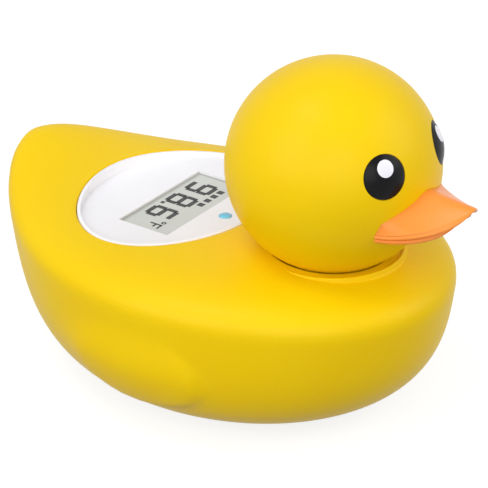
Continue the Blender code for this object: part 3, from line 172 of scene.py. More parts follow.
@dataclass(frozen=True)
class Finish:
    """A plain moulded surface: soft colour drift, and a fine grain from the mould.

    Attributes:
        name: The material's name.
        slot: The record's slot that it dresses.
        colour: Base colour.
        drift: Second colour, which the drift leans to.
        roughness: Middle roughness.
        spread: How far the roughness wanders.
        metallic: 1 on bare metal.
        ior: Index of refraction.
        gloss: Specular level, where 0.5 is the index's own.
        coat: Weight of a clear top layer.
        grain_mm: Size of the mould's grain.
        grain_depth_mm: Height of that grain.
        drift_mm: Size of the colour's drift.
    """

    name: str
    slot: Slot
    colour: str
    drift: str
    roughness: float = 0.4
    spread: float = 0.05
    metallic: float = 0.0
    ior: float = 1.5
    gloss: float = 0.5
    coat: float = 0.0
    grain_mm: float = 0.5
    grain_depth_mm: float = 0.004
    drift_mm: float = 18.0

    def material(self) -> Material:
        """Makes the material, or gives the one already made."""
        if self.name in bpy.data.materials:
            return bpy.data.materials[self.name]
        made = bpy.data.materials.new(self.name)
        made.use_nodes = True
        made.diffuse_color = linear(self.colour)
        tree = made.node_tree
        shader = tree.nodes["Principled BSDF"]
        shader.inputs["Metallic"].default_value = self.metallic
        shader.inputs["IOR"].default_value = self.ior
        shader.inputs["Specular IOR Level"].default_value = self.gloss
        shader.inputs["Coat Weight"].default_value = self.coat
        self.dress(Graph(tree, shader, add_node(tree, "ShaderNodeTexCoord").outputs["Object"]))
        return made

    def dress(self, graph: Graph) -> None:
        """Colours the shader and gives it its grain.

        Args:
            graph: The material's nodes.
        """
        self.paint(graph, add_node(graph.tree, NOISE, blobs(graph.place, self.drift_mm)).outputs["Fac"])
        self.etch(graph, add_node(graph.tree, NOISE, blobs(graph.place, self.grain_mm)).outputs["Fac"])

    def paint(self, graph: Graph, value: NodeSocket) -> None:
        """Lets the colour drift with a value.

        Args:
            graph: The material's nodes.
            value: What moves it from the first colour to the second.
        """
        settings = {"Value": value, "From Min": NOISE_LOW, "From Max": NOISE_HIGH}
        self.tint(graph, add_node(graph.tree, "ShaderNodeMapRange", settings).outputs[0], self.drift)

    def tint(self, graph: Graph, share: NodeSocket, colour: str) -> None:
        """Lays one more colour over what the shader has.

        Args:
            graph: The material's nodes.
            share: How much of the new colour shows.
            colour: The new colour.
        """
        base = graph.shader.inputs["Base Color"]
        below = base.links[0].from_socket if base.is_linked else linear(self.colour)
        settings = {MIX_SHARE: share, MIX_FIRST: below, MIX_SECOND: linear(colour)}
        mix = add_node(graph.tree, "ShaderNodeMix", settings, data_type="RGBA")
        graph.tree.links.new(mix.outputs[MIX_RESULT], base)

    def etch(self, graph: Graph, grain: NodeSocket) -> None:
        """Lets the roughness wander with a grain, and gives the grain its real depth.

        Args:
            graph: The material's nodes.
            grain: The grain's height.
        """
        low, high = self.roughness - self.spread, self.roughness + self.spread
        settings = {"Value": grain, "From Min": NOISE_LOW, "From Max": NOISE_HIGH, "To Min": low, "To Max": high}
        wander = add_node(graph.tree, "ShaderNodeMapRange", settings)
        graph.tree.links.new(wander.outputs[0], graph.shader.inputs["Roughness"])
        settings = {"Height": grain, "Distance": self.grain_depth_mm * MM, "Strength": 1.0}
        bump = add_node(graph.tree, "ShaderNodeBump", settings)
        graph.tree.links.new(bump.outputs["Normal"], graph.shader.inputs["Normal"])


@dataclass(frozen=True)
class SpeckledVinyl(Finish):
    """Satin moulded vinyl, whose fine speckle of deeper pigment shows where the light falls off."""

    speck: str = "#E8AE00"
    speck_mm: float = 0.55
    speck_share: float = 0.10
    speck_low: float = 0.52
    speck_high: float = 0.70

    def dress(self, graph: Graph) -> None:
        """Adds the pigment's speckle to the plain finish.

        Args:
            graph: The material's nodes.
        """
        super().dress(graph)
        specks = add_node(graph.tree, NOISE, blobs(graph.place, self.speck_mm, 3.0)).outputs["Fac"]
        limits = {"From Min": self.speck_low, "From Max": self.speck_high, "To Max": self.speck_share}
        share = add_node(graph.tree, "ShaderNodeMapRange", {"Value": specks, **limits})
        self.tint(graph, share.outputs[0], self.speck)


@dataclass(frozen=True)
class TurnedMetal(Finish):
    """Bright metal with fine lines left by the tool, which run round the upright axis."""

    line_mm: float = 0.12
    stretch: float = 0.08

    def dress(self, graph: Graph) -> None:
        """Draws the tool's lines as a noise stretched along the surface.

        Args:
            graph: The material's nodes.
        """
        settings = {"Vector": graph.place, "Scale": (self.stretch, self.stretch, 1.0)}
        along = add_node(graph.tree, "ShaderNodeMapping", settings).outputs[0]
        self.paint(graph, add_node(graph.tree, NOISE, blobs(graph.place, self.drift_mm)).outputs["Fac"])
        self.etch(graph, add_node(graph.tree, NOISE, blobs(along, self.line_mm, 3.0)).outputs["Fac"])


@dataclass(frozen=True)
class Polariser(Finish):
    """The front of a reflective display: grey-green film, with painted shade along the two edges where its frame's
    step would shade it.
    """

    # Colour of the painted shade along the film's tail edge and left end.
    painted_shadow_colour: str = "#9DA09E"
    tail_edge: float = -22.07 * MM
    left_edge: float = 14.8 * MM
    # Width of the painted shade band.
    painted_shadow_band: float = 1.1 * MM
    coat_roughness: float = 0.12

    def dress(self, graph: Graph) -> None:
        """Paints shade on the film along its tail edge and its left end, a painted shadow of the frame's step.

        Args:
            graph: The material's nodes.
        """
        super().dress(graph)
        graph.shader.inputs["Coat Roughness"].default_value = self.coat_roughness
        apart = add_node(graph.tree, "ShaderNodeSeparateXYZ", {0: graph.place})
        edges = {}
        for axis, edge, inner in (
            ("X", self.tail_edge, self.tail_edge + self.painted_shadow_band),
            ("Y", self.left_edge, self.left_edge - self.painted_shadow_band),
        ):
            settings = {"Value": apart.outputs[axis], "From Min": inner, "From Max": edge}
            edges[len(edges)] = add_node(graph.tree, "ShaderNodeMapRange", settings).outputs[0]
        # Painted shade: the stronger of the two edge ramps.
        painted_shadow_share = add_node(graph.tree, "ShaderNodeMath", edges, operation="MAXIMUM")
        self.tint(graph, painted_shadow_share.outputs[0], self.painted_shadow_colour)


@dataclass(frozen=True)
class RimShadedLens(Finish):
    """A dyed clear lens, with painted shade that deepens its colour where it curves away."""

    # Colour of the painted shade at the lens's rim.
    rim: str = "#2E8DC4"
    painted_rim_shade_blend: float = 0.35

    def dress(self, graph: Graph) -> None:
        """Paints shade toward the rim by the facing of the surface, deepening the lens's colour there.

        Args:
            graph: The material's nodes.
        """
        super().dress(graph)
        # Painted shade: the colour deepens where the surface faces away from the view.
        painted_rim_shade = add_node(graph.tree, "ShaderNodeLayerWeight", {"Blend": self.painted_rim_shade_blend}).outputs["Facing"]
        self.tint(graph, painted_rim_shade, self.rim)


@dataclass(frozen=True)
class BoardMask(Finish):
    """Solder mask over woven glass: green, with the copper under it just showing."""

    trace: str = "#0E6A3A"
    pitch_mm: float = 2.4
    trace_low: float = 0.30
    trace_high: float = 0.34

    def dress(self, graph: Graph) -> None:
        """Draws the copper as broad tracks along X and Y.

        Args:
            graph: The material's nodes.
        """
        super().dress(graph)
        settings = {"Vector": graph.place, "Scale": 1.0 / (self.pitch_mm * MM), "Randomness": 0.0}
        cells = add_node(graph.tree, "ShaderNodeTexVoronoi", settings, distance="CHEBYCHEV")
        settings = {"Value": cells.outputs["Distance"], "From Min": self.trace_low, "From Max": self.trace_high}
        share = add_node(graph.tree, "ShaderNodeMapRange", settings)
        self.tint(graph, share.outputs[0], self.trace)


@dataclass(frozen=True)
class LayeredRubber(Finish):
    """Contact rubber in thin dark and pale layers, one of each every third of a millimetre."""

    pair_mm: float = 0.1 * math.pi

    def dress(self, graph: Graph) -> None:
        """Stripes the colour along Y.

        Args:
            graph: The material's nodes.
        """
        settings = {"Vector": graph.place, "Scale": math.tau / (WAVE_TURN * self.pair_mm * MM)}
        wave = add_node(graph.tree, "ShaderNodeTexWave", settings, bands_direction="Y")
        self.paint(graph, wave.outputs["Fac"])
        self.etch(graph, add_node(graph.tree, NOISE, blobs(graph.place, self.grain_mm)).outputs["Fac"])


# Moulded vinyl: satin, with an etched mould's grain that softens every highlight.
VINYL = SpeckledVinyl("satin_yellow_vinyl", Slot.SHELL, "#F3CA00", "#F3CD03", 0.42, 0.04, gloss=0.16, grain_mm=0.7)
# Bill: a harder vinyl than the body's, so its highlights are tighter.
BILL_VINYL = SpeckledVinyl(
    "satin_orange_vinyl", Slot.BEAK, "#FC9436", "#FC983E", 0.3, 0.03, gloss=0.3, grain_mm=0.6, grain_depth_mm=0.003,
    speck="#EE8430", speck_share=0.12,
)
# Eyes: black lacquer on ABS, flatted so that it stays deep black under the lamps.
EYE_LACQUER = Finish(
    "lacquered_black_eye", Slot.EYE, "#08080B", "#0A0A0D", 0.3, 0.03, gloss=0.14, grain_mm=1.2, grain_depth_mm=0.001,
)
# Eye glints: pad-printed white, a little chalkier than the lacquer.
EYE_PRINT = Finish("white_eye_print", Slot.GLINT, "#F4F2FA", "#EFEDF6", 0.3, 0.03, coat=0.3, grain_mm=0.8)
# Surround: white ABS from a finely etched mould, which spreads its highlights.
PANEL_ABS = Finish("etched_white_abs", Slot.PANEL, "#F8F8FC", "#F4F4F9", 0.38, 0.04, grain_depth_mm=0.002)
# Display: polarising film on glass, slightly glossy, even apart from painted shade along two edges.
DISPLAY_FILM = Polariser(
    "grey_display_film", Slot.DISPLAY, "#D1D4CF", "#CBCEC9", 0.3, 0.03, coat=0.2, grain_mm=0.3,
    grain_depth_mm=0.0006, drift_mm=14.0,
)
# Segments: liquid crystal turned dark, flat under the film.
SEGMENT_INK = Finish(
    "dark_display_segment", Slot.DISPLAY, "#1E201F", "#252726", 0.35, 0.03, grain_mm=0.4, grain_depth_mm=0.0005,
)
# Indicator: dyed acrylic over the light, polished, so it takes a small sharp highlight; painted shade deepens its
# colour toward the rim.
LENS_ACRYLIC = RimShadedLens(
    "dyed_blue_acrylic", Slot.LED, "#6FD3F2", "#7EDCF6", 0.12, 0.02, ior=1.49, coat=0.5, grain_mm=1.0,
    grain_depth_mm=0.001, drift_mm=4.0,
)

CAD_FINISHES = (
    VINYL,
    BILL_VINYL,
    EYE_LACQUER,
    EYE_PRINT,
    PANEL_ABS,
    DISPLAY_FILM,
    LENS_ACRYLIC,
    # Cast acrylic: smooth and glossy.
    Finish("clear_acrylic", Slot.WINDOW, "#DCDDD9", "#D5D7D2", 0.08, 0.02, ior=1.49, coat=0.5, grain_depth_mm=0.001),
    # Inner frames: unpainted grey ABS, matt.
    Finish("grey_abs", Slot.FRAME, "#C0C1C2", "#B8B9BB", 0.5, 0.05),
    # Seals: matt nitrile rubber with mould dust.
    Finish("matt_seal_rubber", Slot.RUBBER, "#26262A", "#303034", 0.75, 0.08, grain_mm=0.25, grain_depth_mm=0.01),
    # Board: solder mask, satin green over darker tracks.
    BoardMask("green_solder_mask", Slot.BOARD, "#1A5C33", "#17522D", 0.4, 0.05, grain_mm=0.4),
    # Potting drop: black epoxy, glossy and slightly wavy from its cure.
    Finish("cured_black_epoxy", Slot.EPOXY, "#141416", "#1A1A1D", 0.25, 0.05, grain_mm=1.5, grain_depth_mm=0.01),
    # Contact strips: silicone in conducting and plain layers, seen as fine stripes.
    LayeredRubber("layered_contact_rubber", Slot.ZEBRA, "#E0C9C5", "#3A3436", 0.6, 0.05),
    # Probe and water pins: drawn stainless steel, with fine bright lines.
    TurnedMetal("drawn_stainless", Slot.STEEL, "#CBCBCD", "#BFC0C3", 0.28, 0.08, 1.0, grain_depth_mm=0.002),
    # Screws: zinc plate, duller than the probe.
    TurnedMetal("zinc_plated_steel", Slot.SCREW, "#B4B5B8", "#A3A5AA", 0.34, 0.08, 1.0, grain_depth_mm=0.003),
    # Springs and contacts: nickel plate, the brightest metal here.
    TurnedMetal("nickel_spring_steel", Slot.SPRING, "#D3D2CC", "#C4C3BD", 0.24, 0.06, 1.0, grain_depth_mm=0.002),
    # Cells: plain shrink sleeve, with the film's soft gloss.
    Finish("cell_shrink_sleeve", Slot.SLEEVE, "#59616A", "#515962", 0.32, 0.04, coat=0.3, grain_mm=1.5),
    # Leads: extruded PVC, satin.
    Finish("red_lead_insulation", Slot.LEAD_RED, "#C2262B", "#B41F25", 0.42, 0.05),
    Finish("black_lead_insulation", Slot.LEAD_BLACK, "#242427", "#2B2B2F", 0.42, 0.05),
)


# Modelling by hand

Profile = list[tuple[float, float]]


def deselect_all() -> None:
    """Leaves nothing selected."""
    bpy.ops.object.select_all(action="DESELECT")


def activate(obj: Object) -> Object:
    """Selects one object alone and makes it active.

    Args:
        obj: The object.

    Returns:
        The same object.
    """
    deselect_all()
    obj.select_set(True)
    bpy.context.view_layer.objects.active = obj
    return obj


@contextmanager
def editing(obj: Object) -> Iterator[None]:
    """Opens an object in edit mode with nothing selected, and closes it again.

    Args:
        obj: The object.
    """
    activate(obj)
    bpy.ops.object.mode_set(mode="EDIT")
    bpy.ops.mesh.select_all(action="DESELECT")
    yield
    bpy.ops.object.mode_set(mode="OBJECT")


def face_outward() -> None:
    """Turns all faces of the mesh in edit mode outward."""
    bpy.ops.mesh.select_all(action="SELECT")
    bpy.ops.mesh.normals_make_consistent(inside=False)


def named(name: str) -> Object:
    """Names the active object and its mesh.

    Args:
        name: Their name.

    Returns:
        The object.
    """
    obj = bpy.context.active_object
    obj.name = name
    obj.data.name = name
    return obj


def settle(obj: Object) -> Object:
    """Moves an object's place, turn and scale into its mesh.

    Args:
        obj: The object.

    Returns:
        The same object.
    """
    activate(obj)
    bpy.ops.object.transform_apply(location=True, rotation=True, scale=True)
    return obj


def apply_modifier(obj: Object, kind: str, **settings: object) -> None:
    """Adds a modifier and applies it.

    Args:
        obj: The object that takes it.
        kind: Blender's name for the modifier's type.
        settings: Its properties.
    """
    activate(obj)
    modifier = obj.modifiers.new(kind.lower(), kind)
    for name, value in settings.items():
        setattr(modifier, name, value)
    bpy.ops.object.modifier_apply(modifier=modifier.name)


def combine(target: Object, tool: Object, operation: str = "DIFFERENCE") -> None:
    """Cuts, joins or trims one object with another, which is used up.

    Args:
        target: The object that keeps its name.
        tool: The other one.
        operation: DIFFERENCE, UNION or INTERSECT.
    """
    apply_modifier(target, "BOOLEAN", operation=operation, solver="EXACT", object=tool)
    bpy.data.objects.remove(tool, do_unlink=True)


def turned(name: str, profile: Profile, sides: int, centre: Vector = ORIGIN) -> Object:
    """Turns a profile round the Z axis, by extruding and resizing a disc step by step.

    Args:
        name: The object's name.
        profile: Radius and height pairs from the bottom disc to the top disc.
        sides: Corners round the axis.
        centre: Where the axis meets height zero.

    Returns:
        A closed object with flat ends.
    """
    deselect_all()
    radius, height = profile[0]
    start = centre + height * UP
    bpy.ops.mesh.primitive_circle_add(vertices=sides, radius=radius, fill_type="NGON", location=start)
    obj = named(name)
    with editing(obj):
        bpy.ops.mesh.select_all(action="SELECT")
        for (before, low), (after, high) in zip(profile, profile[1:]):
            bpy.ops.mesh.extrude_region()
            bpy.ops.transform.translate(value=(0.0, 0.0, high - low))
            share = after / before
            bpy.ops.transform.resize(value=(share, share, 1.0), center_override=centre + high * UP)
        face_outward()
    return settle(obj)


def block(name: str, low: tuple[float, float, float], high: tuple[float, float, float]) -> Object:
    """A box between two corners.

    Args:
        name: The object's name.
        low: Lowest corner.
        high: Highest corner.

    Returns:
        The box.
    """
    deselect_all()
    low_point, high_point = Vector(low), Vector(high)
    bpy.ops.mesh.primitive_cube_add(size=1.0, location=(low_point + high_point) / 2)
    obj = named(name)
    obj.scale = high_point - low_point
    return settle(obj)


def bevel_upright(obj: Object, size: float, segments: int) -> Object:
    """Bevels an object's upright edges.

    Args:
        obj: The object.
        size: Width of the bevel.
        segments: 1 for a flat bevel, and more for a round one.

    Returns:
        The same object.
    """
    with editing(obj):
        mesh = bmesh.from_edit_mesh(obj.data)
        for edge in mesh.edges:
            edge.select = (edge.verts[0].co - edge.verts[1].co).to_2d().length < NIL
        bmesh.update_edit_mesh(obj.data)
        bpy.ops.mesh.bevel(offset=size, segments=segments, affect="EDGES")
    return obj


def finish_piece(obj: Object, finish: Finish, *nodes: str, angle: float = 35.0) -> Object:
    """Gives a finished piece its material and its place in the model.

    Args:
        obj: The piece.
        finish: Its finish.
        nodes: The CAD nodes that it stands for.
        angle: Edges sharper than this stay crisp.

    Returns:
        The same piece.
    """
    obj.data.materials.clear()
    obj.data.materials.append(finish.material())
    activate(obj)
    bpy.ops.object.shade_smooth_by_angle(angle=math.radians(angle))
    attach(obj, BODY)
    if nodes:
        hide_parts(*nodes)
    LOG.info("%s: %d faces, %s", obj.name, len(obj.data.polygons), finish.name)
    return obj


def signed_power(value: float, power: float) -> float:
    """A power that keeps its base's sign."""
    return math.copysign(abs(value) ** power, value)


def ease(value: float) -> float:
    """A smooth step from 0 to 1."""
    value = min(max(value, 0.0), 1.0)
    return value * value * (3.0 - 2.0 * value)


@dataclass
class Hull:
    """The duck's body: the same formula as the CAD hull, on a finer grid.

    Attributes:
        middle_x: Where the plan's two halves meet.
        wing_top: How much of the wing's depth counts above its middle.
        tail_limit: Where the tail's rise stops growing.
        seam_z: Middle of the seam between shell and base.
        wall: Thickness of the shell.
        columns: Steps round the body.
        rows: Steps from keel to deck.
        fine_steps: Steps that measure the section before it is cut into rows.
        lip: Radius of the rounded edge round the display.
    """

    middle_x: float = -1.97 * MM
    front_reach: float = 51.9 * MM
    half_width: float = 39.05 * MM
    tail_reach_low: float = 46.1 * MM
    tail_reach_top: float = 59.0 * MM
    tail_flare: float = 0.73
    chest_tuck: float = 0.08
    waist_z: float = 29.0 * MM
    deck_z: float = 38.6 * MM
    keel_z: float = -0.7 * MM
    upper_round: float = 3.04
    lower_round: float = 3.29
    rear_point: float = 1.1
    tail_start_x: float = -16.17 * MM
    tail_lift: float = 13.3 * MM
    tail_curve: float = 3.2
    tail_limit: float = 1.2
    lift_fade: float = 0.68
    tail_pinch: float = 0.07
    wing_x: float = -2.3 * MM
    wing_z: float = 15.5 * MM
    wing_reach: float = 17.8 * MM
    wing_depth: float = 8.5 * MM
    wing_top: float = 0.7
    wing_rise: float = 1.3 * MM
    wing_edge: float = 0.08
    wing_back: float = 27.0 * MM
    wing_fade_low: float = 16.0 * MM
    wing_fade_high: float = 27.0 * MM
    seam_z: float = 2.5 * MM
    gap: float = 0.3 * MM
    wall: float = 2.0 * MM
    columns: int = 216
    rows: int = 92
    fine_steps: int = 2000
    lip: float = 0.4 * MM

    def wing_height(self, x: float, z: float) -> float:
        """How far the wing stands off the flank.

        Args:
            x: Place along the body.
            z: Height.

        Returns:
            The height of the relief.
        """
        ahead = (x - self.wing_x) / (self.wing_reach if x > self.wing_x else self.wing_back)
        down = (z - self.wing_z) / self.wing_depth
        inside = 1.0 - math.hypot(ahead, min(down, 0.0) if z < self.wing_z else down * self.wing_top)
        edge = self.wing_edge if x > self.wing_x else self.wing_edge + ease(-ahead)
        fade = ease((self.wing_fade_high - z) / (self.wing_fade_high - self.wing_fade_low))
        return self.wing_rise * ease(inside / edge) * fade

    def point(self, climb: float, around: float) -> Vector:
        """A point of the body's skin.

        Args:
            climb: From 0 at the keel to pi at the middle of the deck.
            around: Once round from the chest.

        Returns:
            Its place.
        """
        level = -math.cos(climb)
        power = 2.0 / (self.lower_round if level < 0.0 else self.upper_round)
        spread = abs(math.sin(climb)) ** power
        height = signed_power(level, power)
        if level < 0.0:
            z = self.waist_z + (self.waist_z - self.keel_z) * height
            tuck = 1.0 - self.chest_tuck * min(1.0 - z / self.waist_z, 1.0)
        else:
            z = self.waist_z + (self.deck_z - self.waist_z) * height
            tuck = 1.0
        share = min(max(z / self.deck_z, 0.0), 1.0)
        tail = self.tail_reach_low + (self.tail_reach_top - self.tail_reach_low) * share**self.tail_flare
        ahead = math.cos(around)
        aside = math.sin(around)
        x = self.middle_x + ahead * spread * (self.front_reach * tuck if ahead > 0.0 else tail)
        y = self.half_width * spread * (aside if ahead > 0.0 else signed_power(aside, self.rear_point))
        behind = (self.tail_start_x - x) / (self.tail_start_x - self.middle_x + self.tail_reach_top)
        behind = min(max(behind, 0.0), self.tail_limit)
        y *= 1.0 - self.tail_pinch * behind**2
        y += math.copysign(self.wing_height(x, z) * abs(aside) * spread, y)
        z = max(z, 0.0) + self.tail_lift * behind**self.tail_curve * share**self.lift_fade
        return Vector((x, y, z))

    def even_climbs(self) -> list[float]:
        """Climbs that cut the section into rows of even height along the skin.

        Returns:
            One climb for each row.
        """
        fine = [math.pi * i / self.fine_steps for i in range(self.fine_steps + 1)]
        section = [self.point(climb, math.pi / 2) for climb in fine]
        lengths = [0.0]
        for before, after in zip(section, section[1:]):
            lengths.append(lengths[-1] + (after - before).length)
        climbs = []
        index = 0
        for row in range(self.rows + 1):
            target = lengths[-1] * row / self.rows
            while index < self.fine_steps and lengths[index] < target:
                index += 1
            climbs.append(fine[index])
        return climbs

    def skin(self, name: str) -> Object:
        """A ball whose rows and columns are laid on the body's formula.

        Args:
            name: The object's name.

        Returns:
            The closed skin.
        """
        deselect_all()
        bpy.ops.mesh.primitive_uv_sphere_add(segments=self.columns, ring_count=self.rows, radius=1.0)
        obj = named(name)
        climbs = self.even_climbs()
        for vertex in obj.data.vertices:
            height = min(max(vertex.co.z, -1.0), 1.0)
            row = round((math.pi - math.acos(height)) / math.pi * self.rows)
            around = math.atan2(vertex.co.y, vertex.co.x)
            vertex.co = self.point(climbs[row], around)
        return obj

    def build(self, shell: Object, rim: list[float], head: "Head", display: "Display") -> Object:
        """The shell above the seam, with its collar and its display opening.

        Args:
            shell: The body's whole skin.
            rim: Height of the deck at each point of the oval.
            head: Says where the neck's collar and dish go.
            display: Says where the oval opening goes.

        Returns:
            The finished shell.
        """
        with editing(shell):
            bpy.ops.mesh.select_all(action="SELECT")
            bottom = (0.0, 0.0, self.seam_z + self.gap / 2)
            bpy.ops.mesh.bisect(plane_co=bottom, plane_no=UP, clear_inner=True)
        apply_modifier(shell, "SOLIDIFY", thickness=self.wall, offset=-1.0, use_even_offset=True)
        combine(shell, head.collar(), "UNION")
        combine(shell, head.dish())
        combine(shell, display.opening(rim, self.lip))
        return finish_piece(shell, VINYL, "body_shell", angle=32.0)

    def rim_heights(self, skin: Object, display: "Display") -> list[float]:
        """Heights of the deck along the oval's edge, found by looking straight down.

        Args:
            skin: The body's whole skin.
            display: Gives the oval.

        Returns:
            One height for each point of the oval.
        """
        bpy.context.view_layer.update()
        heights = []
        for x, y in display.outline():
            found, place, _, _ = skin.ray_cast(Vector((x, y, 2 * self.deck_z)), -UP)
            heights.append(place.z if found else self.deck_z)
        return heights


@dataclass
class Head:
    """The ball with its eye seats, and the collar that it sits in.

    Attributes:
        radius: Of the ball.
        ring_radius: Of the collar's bead.
        bead: Radius of the bead itself.
        collar_top: Height of the bead's middle.
        seat_z: Where the neck rests.
        dish_gap: Air between ball and body.
        wall: Thickness of the ball's wall.
        flare_foot: Where the flare starts, as a share of the collar's height.
        flare_rise: The flare's own height, as such a share.
        seat_sides: Unlike bore_sides and neck_sides, so that no faces of the pieces lie in one plane.
    """

    radius: float = 23.0 * MM
    ring_radius: float = 15.4 * MM
    bead: float = 0.45 * MM
    collar_top: float = 37.4 * MM
    collar_radius: float = 18.0 * MM
    boss_radius: float = 15.0 * MM
    boss_bottom: float = 28.5 * MM
    seat_z: float = 33.0 * MM
    seat_radius: float = 11.2 * MM
    spigot_radius: float = 7.9 * MM
    dish_gap: float = 0.3 * MM
    wall: float = 2.0 * MM
    gap: float = 0.3 * MM
    flare_foot: float = 0.25
    flare_rise: float = 0.55
    flare_steps: int = 7
    bead_steps: int = 12
    segments: int = 144
    seat_sides: int = 97
    bore_sides: int = 71
    neck_sides: int = 100
    centre: Vector = field(default_factory=Vector)

    def __post_init__(self) -> None:
        """Takes the ball's place from the CAD node."""
        low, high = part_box("head_shell")
        self.centre = Vector(((low.x + high.x) / 2, 0.0, high.z - self.radius))

    @property
    def axis_foot(self) -> Vector:
        """Where the ball's upright axis meets the ground."""
        return Vector((self.centre.x, 0.0, 0.0))

    def collar(self) -> Object:
        """The boss under the ball, its flare and its bead."""
        drop = self.collar_top - self.seat_z
        outside = self.ring_radius + self.bead
        flare = self.collar_radius - outside
        profile = [(self.boss_radius, self.boss_bottom), (self.boss_radius, self.seat_z)]
        profile += [(outside, self.seat_z + self.flare_foot * drop)]
        for step in range(self.flare_steps):
            left = 1.0 - step / self.flare_steps
            profile.append((outside + flare * left**2, self.collar_top - self.flare_rise * drop * left))
        for step in range(self.bead_steps + 1):
            angle = math.pi * step / self.bead_steps
            height = self.collar_top + self.bead * math.sin(angle)
            profile.append((self.ring_radius + self.bead * math.cos(angle), height))
        return turned("collar", profile, self.segments, self.axis_foot)

    def dish(self) -> Object:
        """The hollow that the ball and its neck sit in."""
        hollow = self.ball("dish", self.radius + self.dish_gap)
        top = self.centre.z - self.radius / 3
        seat = [(self.seat_radius, self.seat_z), (self.seat_radius, top)]
        combine(hollow, turned("seat", seat, self.seat_sides, self.axis_foot), "UNION")
        low = self.boss_bottom - self.wall
        wide = self.spigot_radius + self.gap
        bore = [(wide, low), (wide, top - self.wall)]
        combine(hollow, turned("bore", bore, self.bore_sides, self.axis_foot), "UNION")
        return hollow

    def ball(self, name: str, radius: float) -> Object:
        """A fine ball round the head's centre.

        Args:
            name: The object's name.
            radius: Of the ball.

        Returns:
            The ball.
        """
        deselect_all()
        half = self.segments // 2
        bpy.ops.mesh.primitive_uv_sphere_add(
            segments=self.segments, ring_count=half, radius=radius, location=self.centre
        )
        return settle(named(name))

    def build(self, eyes: "Eyes") -> Object:
        """The hollow ball with its neck and its two eye seats.

        Args:
            eyes: Gives the shape and place of the seats.

        Returns:
            The finished ball.
        """
        shell = self.ball("head_ball", self.radius)
        combine(shell, self.ball("head_hollow", self.radius - self.wall))
        foot = self.boss_bottom + self.gap / 2
        rest = self.seat_z + self.gap
        wide = self.seat_radius - self.gap
        inner_top = self.centre.z - math.sqrt((self.radius - self.wall / 2) ** 2 - wide**2)
        neck = [(self.spigot_radius, foot), (self.spigot_radius, rest), (wide, rest + NUDGE), (wide, inner_top)]
        combine(shell, turned("neck", neck, self.neck_sides, self.axis_foot), "UNION")
        for side in (1, -1):
            combine(shell, eyes.seat(self, side))
        return finish_piece(shell, VINYL, "head_shell")


@dataclass
class Eyes:
    """Two domed eyes with a white glint set into each.

    Attributes:
        bulge: How far the dome stands proud of the ball.
        glint_offset: From the eye's middle up to the glint's.
        fit: Air round the eye and its peg.
        glint_fit: Air round the glint.
        pole: The dome's last ring, as a share of the eye's radius.
    """

    azimuth: float = math.radians(28.0)
    elevation: float = math.radians(16.3)
    radius: float = 4.65 * MM
    bulge: float = 0.75 * MM
    seat_depth: float = 1.05 * MM
    glint_radius: float = 1.82 * MM
    glint_offset: float = 1.85 * MM
    glint_depth: float = 0.25 * MM
    glint_fit: float = 0.02 * MM
    glint_sides: int = 64
    peg_radius: float = 1.5 * MM
    peg_length: float = 1.85 * MM
    fit: float = 0.15 * MM
    pole: float = 0.02
    dome_steps: int = 12
    sides: int = 96

    def frame(self, head: Head, side: int) -> Matrix:
        """Local Z along the eye's axis from the head's centre, and local Y upward.

        Args:
            head: The ball that carries it.
            side: 1 for the duck's left.

        Returns:
            The eye's place and turn.
        """
        azimuth = side * self.azimuth
        flat = math.cos(self.elevation)
        axis = Vector((flat * math.cos(azimuth), flat * math.sin(azimuth), math.sin(self.elevation)))
        across = Vector((-math.sin(azimuth), math.cos(azimuth), 0.0))
        matrix = Matrix((across, axis.cross(across), axis)).transposed().to_4x4()
        matrix.translation = head.centre
        return matrix

    def dome_radius(self, head: Head) -> float:
        """Radius of the sphere that the eye's front is cut from."""
        rise = head.radius + self.bulge - math.sqrt(head.radius**2 - self.radius**2)
        return (self.radius**2 + rise**2) / (2 * rise)

    def dome(self, head: Head, radius: float) -> float:
        """Height of the eye's front at this distance from its axis."""
        sphere = self.dome_radius(head)
        return head.radius + self.bulge - sphere + math.sqrt(sphere**2 - radius**2)

    def seat(self, head: Head, side: int) -> Object:
        """The round pocket that one eye sits in.

        Args:
            head: The ball that carries it.
            side: 1 for the duck's left.

        Returns:
            The cutter.
        """
        deep = head.radius - self.seat_depth
        low = head.radius - self.seat_depth - self.peg_length - self.fit
        wide = self.radius + self.fit
        thin = self.peg_radius + self.fit
        profile = [(thin, low), (thin, deep), (wide, deep + NUDGE), (wide, head.radius + self.bulge)]
        pocket = turned("eye_pocket", profile, self.sides)
        pocket.matrix_world = self.frame(head, side)
        return settle(pocket)

    def build(self, head: Head) -> None:
        """Both eyes with their glints."""
        for side, word in ((1, "left"), (-1, "right")):
            self.one(head, side, word)

    def one(self, head: Head, side: int, word: str) -> None:
        """One eye: a turned dome on its peg, and the glint let into it.

        Args:
            head: The ball that carries it.
            side: 1 for the duck's left.
            word: The side's name.
        """
        floor = head.radius - self.seat_depth + self.fit
        profile = [(self.peg_radius, floor - self.peg_length), (self.peg_radius, floor), (self.radius, floor + NUDGE)]
        for step in range(self.dome_steps):
            radius = self.radius * math.cos(0.5 * math.pi * step / self.dome_steps)
            profile.append((radius, self.dome(head, radius)))
        profile.append((self.pole * self.radius, self.dome(head, 0.0)))
        eye = turned(f"eye_dome_{word}", profile, self.sides)
        glint = turned(f"eye_glint_{word}", profile, self.sides)
        crown = head.radius + 2 * self.bulge
        middle = Vector((0.0, self.glint_offset, 0.0))
        base = self.dome(head, self.glint_offset + self.glint_radius) - self.glint_depth
        wide = self.glint_radius + self.glint_fit
        hole = [(wide, base - self.glint_fit), (wide, crown)]
        combine(eye, turned("glint_hole", hole, self.glint_sides, middle))
        plug = [(self.glint_radius, base), (self.glint_radius, crown)]
        combine(glint, turned("glint_plug", plug, self.glint_sides, middle), "INTERSECT")
        for piece in (eye, glint):
            piece.matrix_world = self.frame(head, side)
            settle(piece)
        finish_piece(eye, EYE_LACQUER, f"eye_{word}")
        finish_piece(glint, EYE_PRINT, f"eye_highlight_{word}")


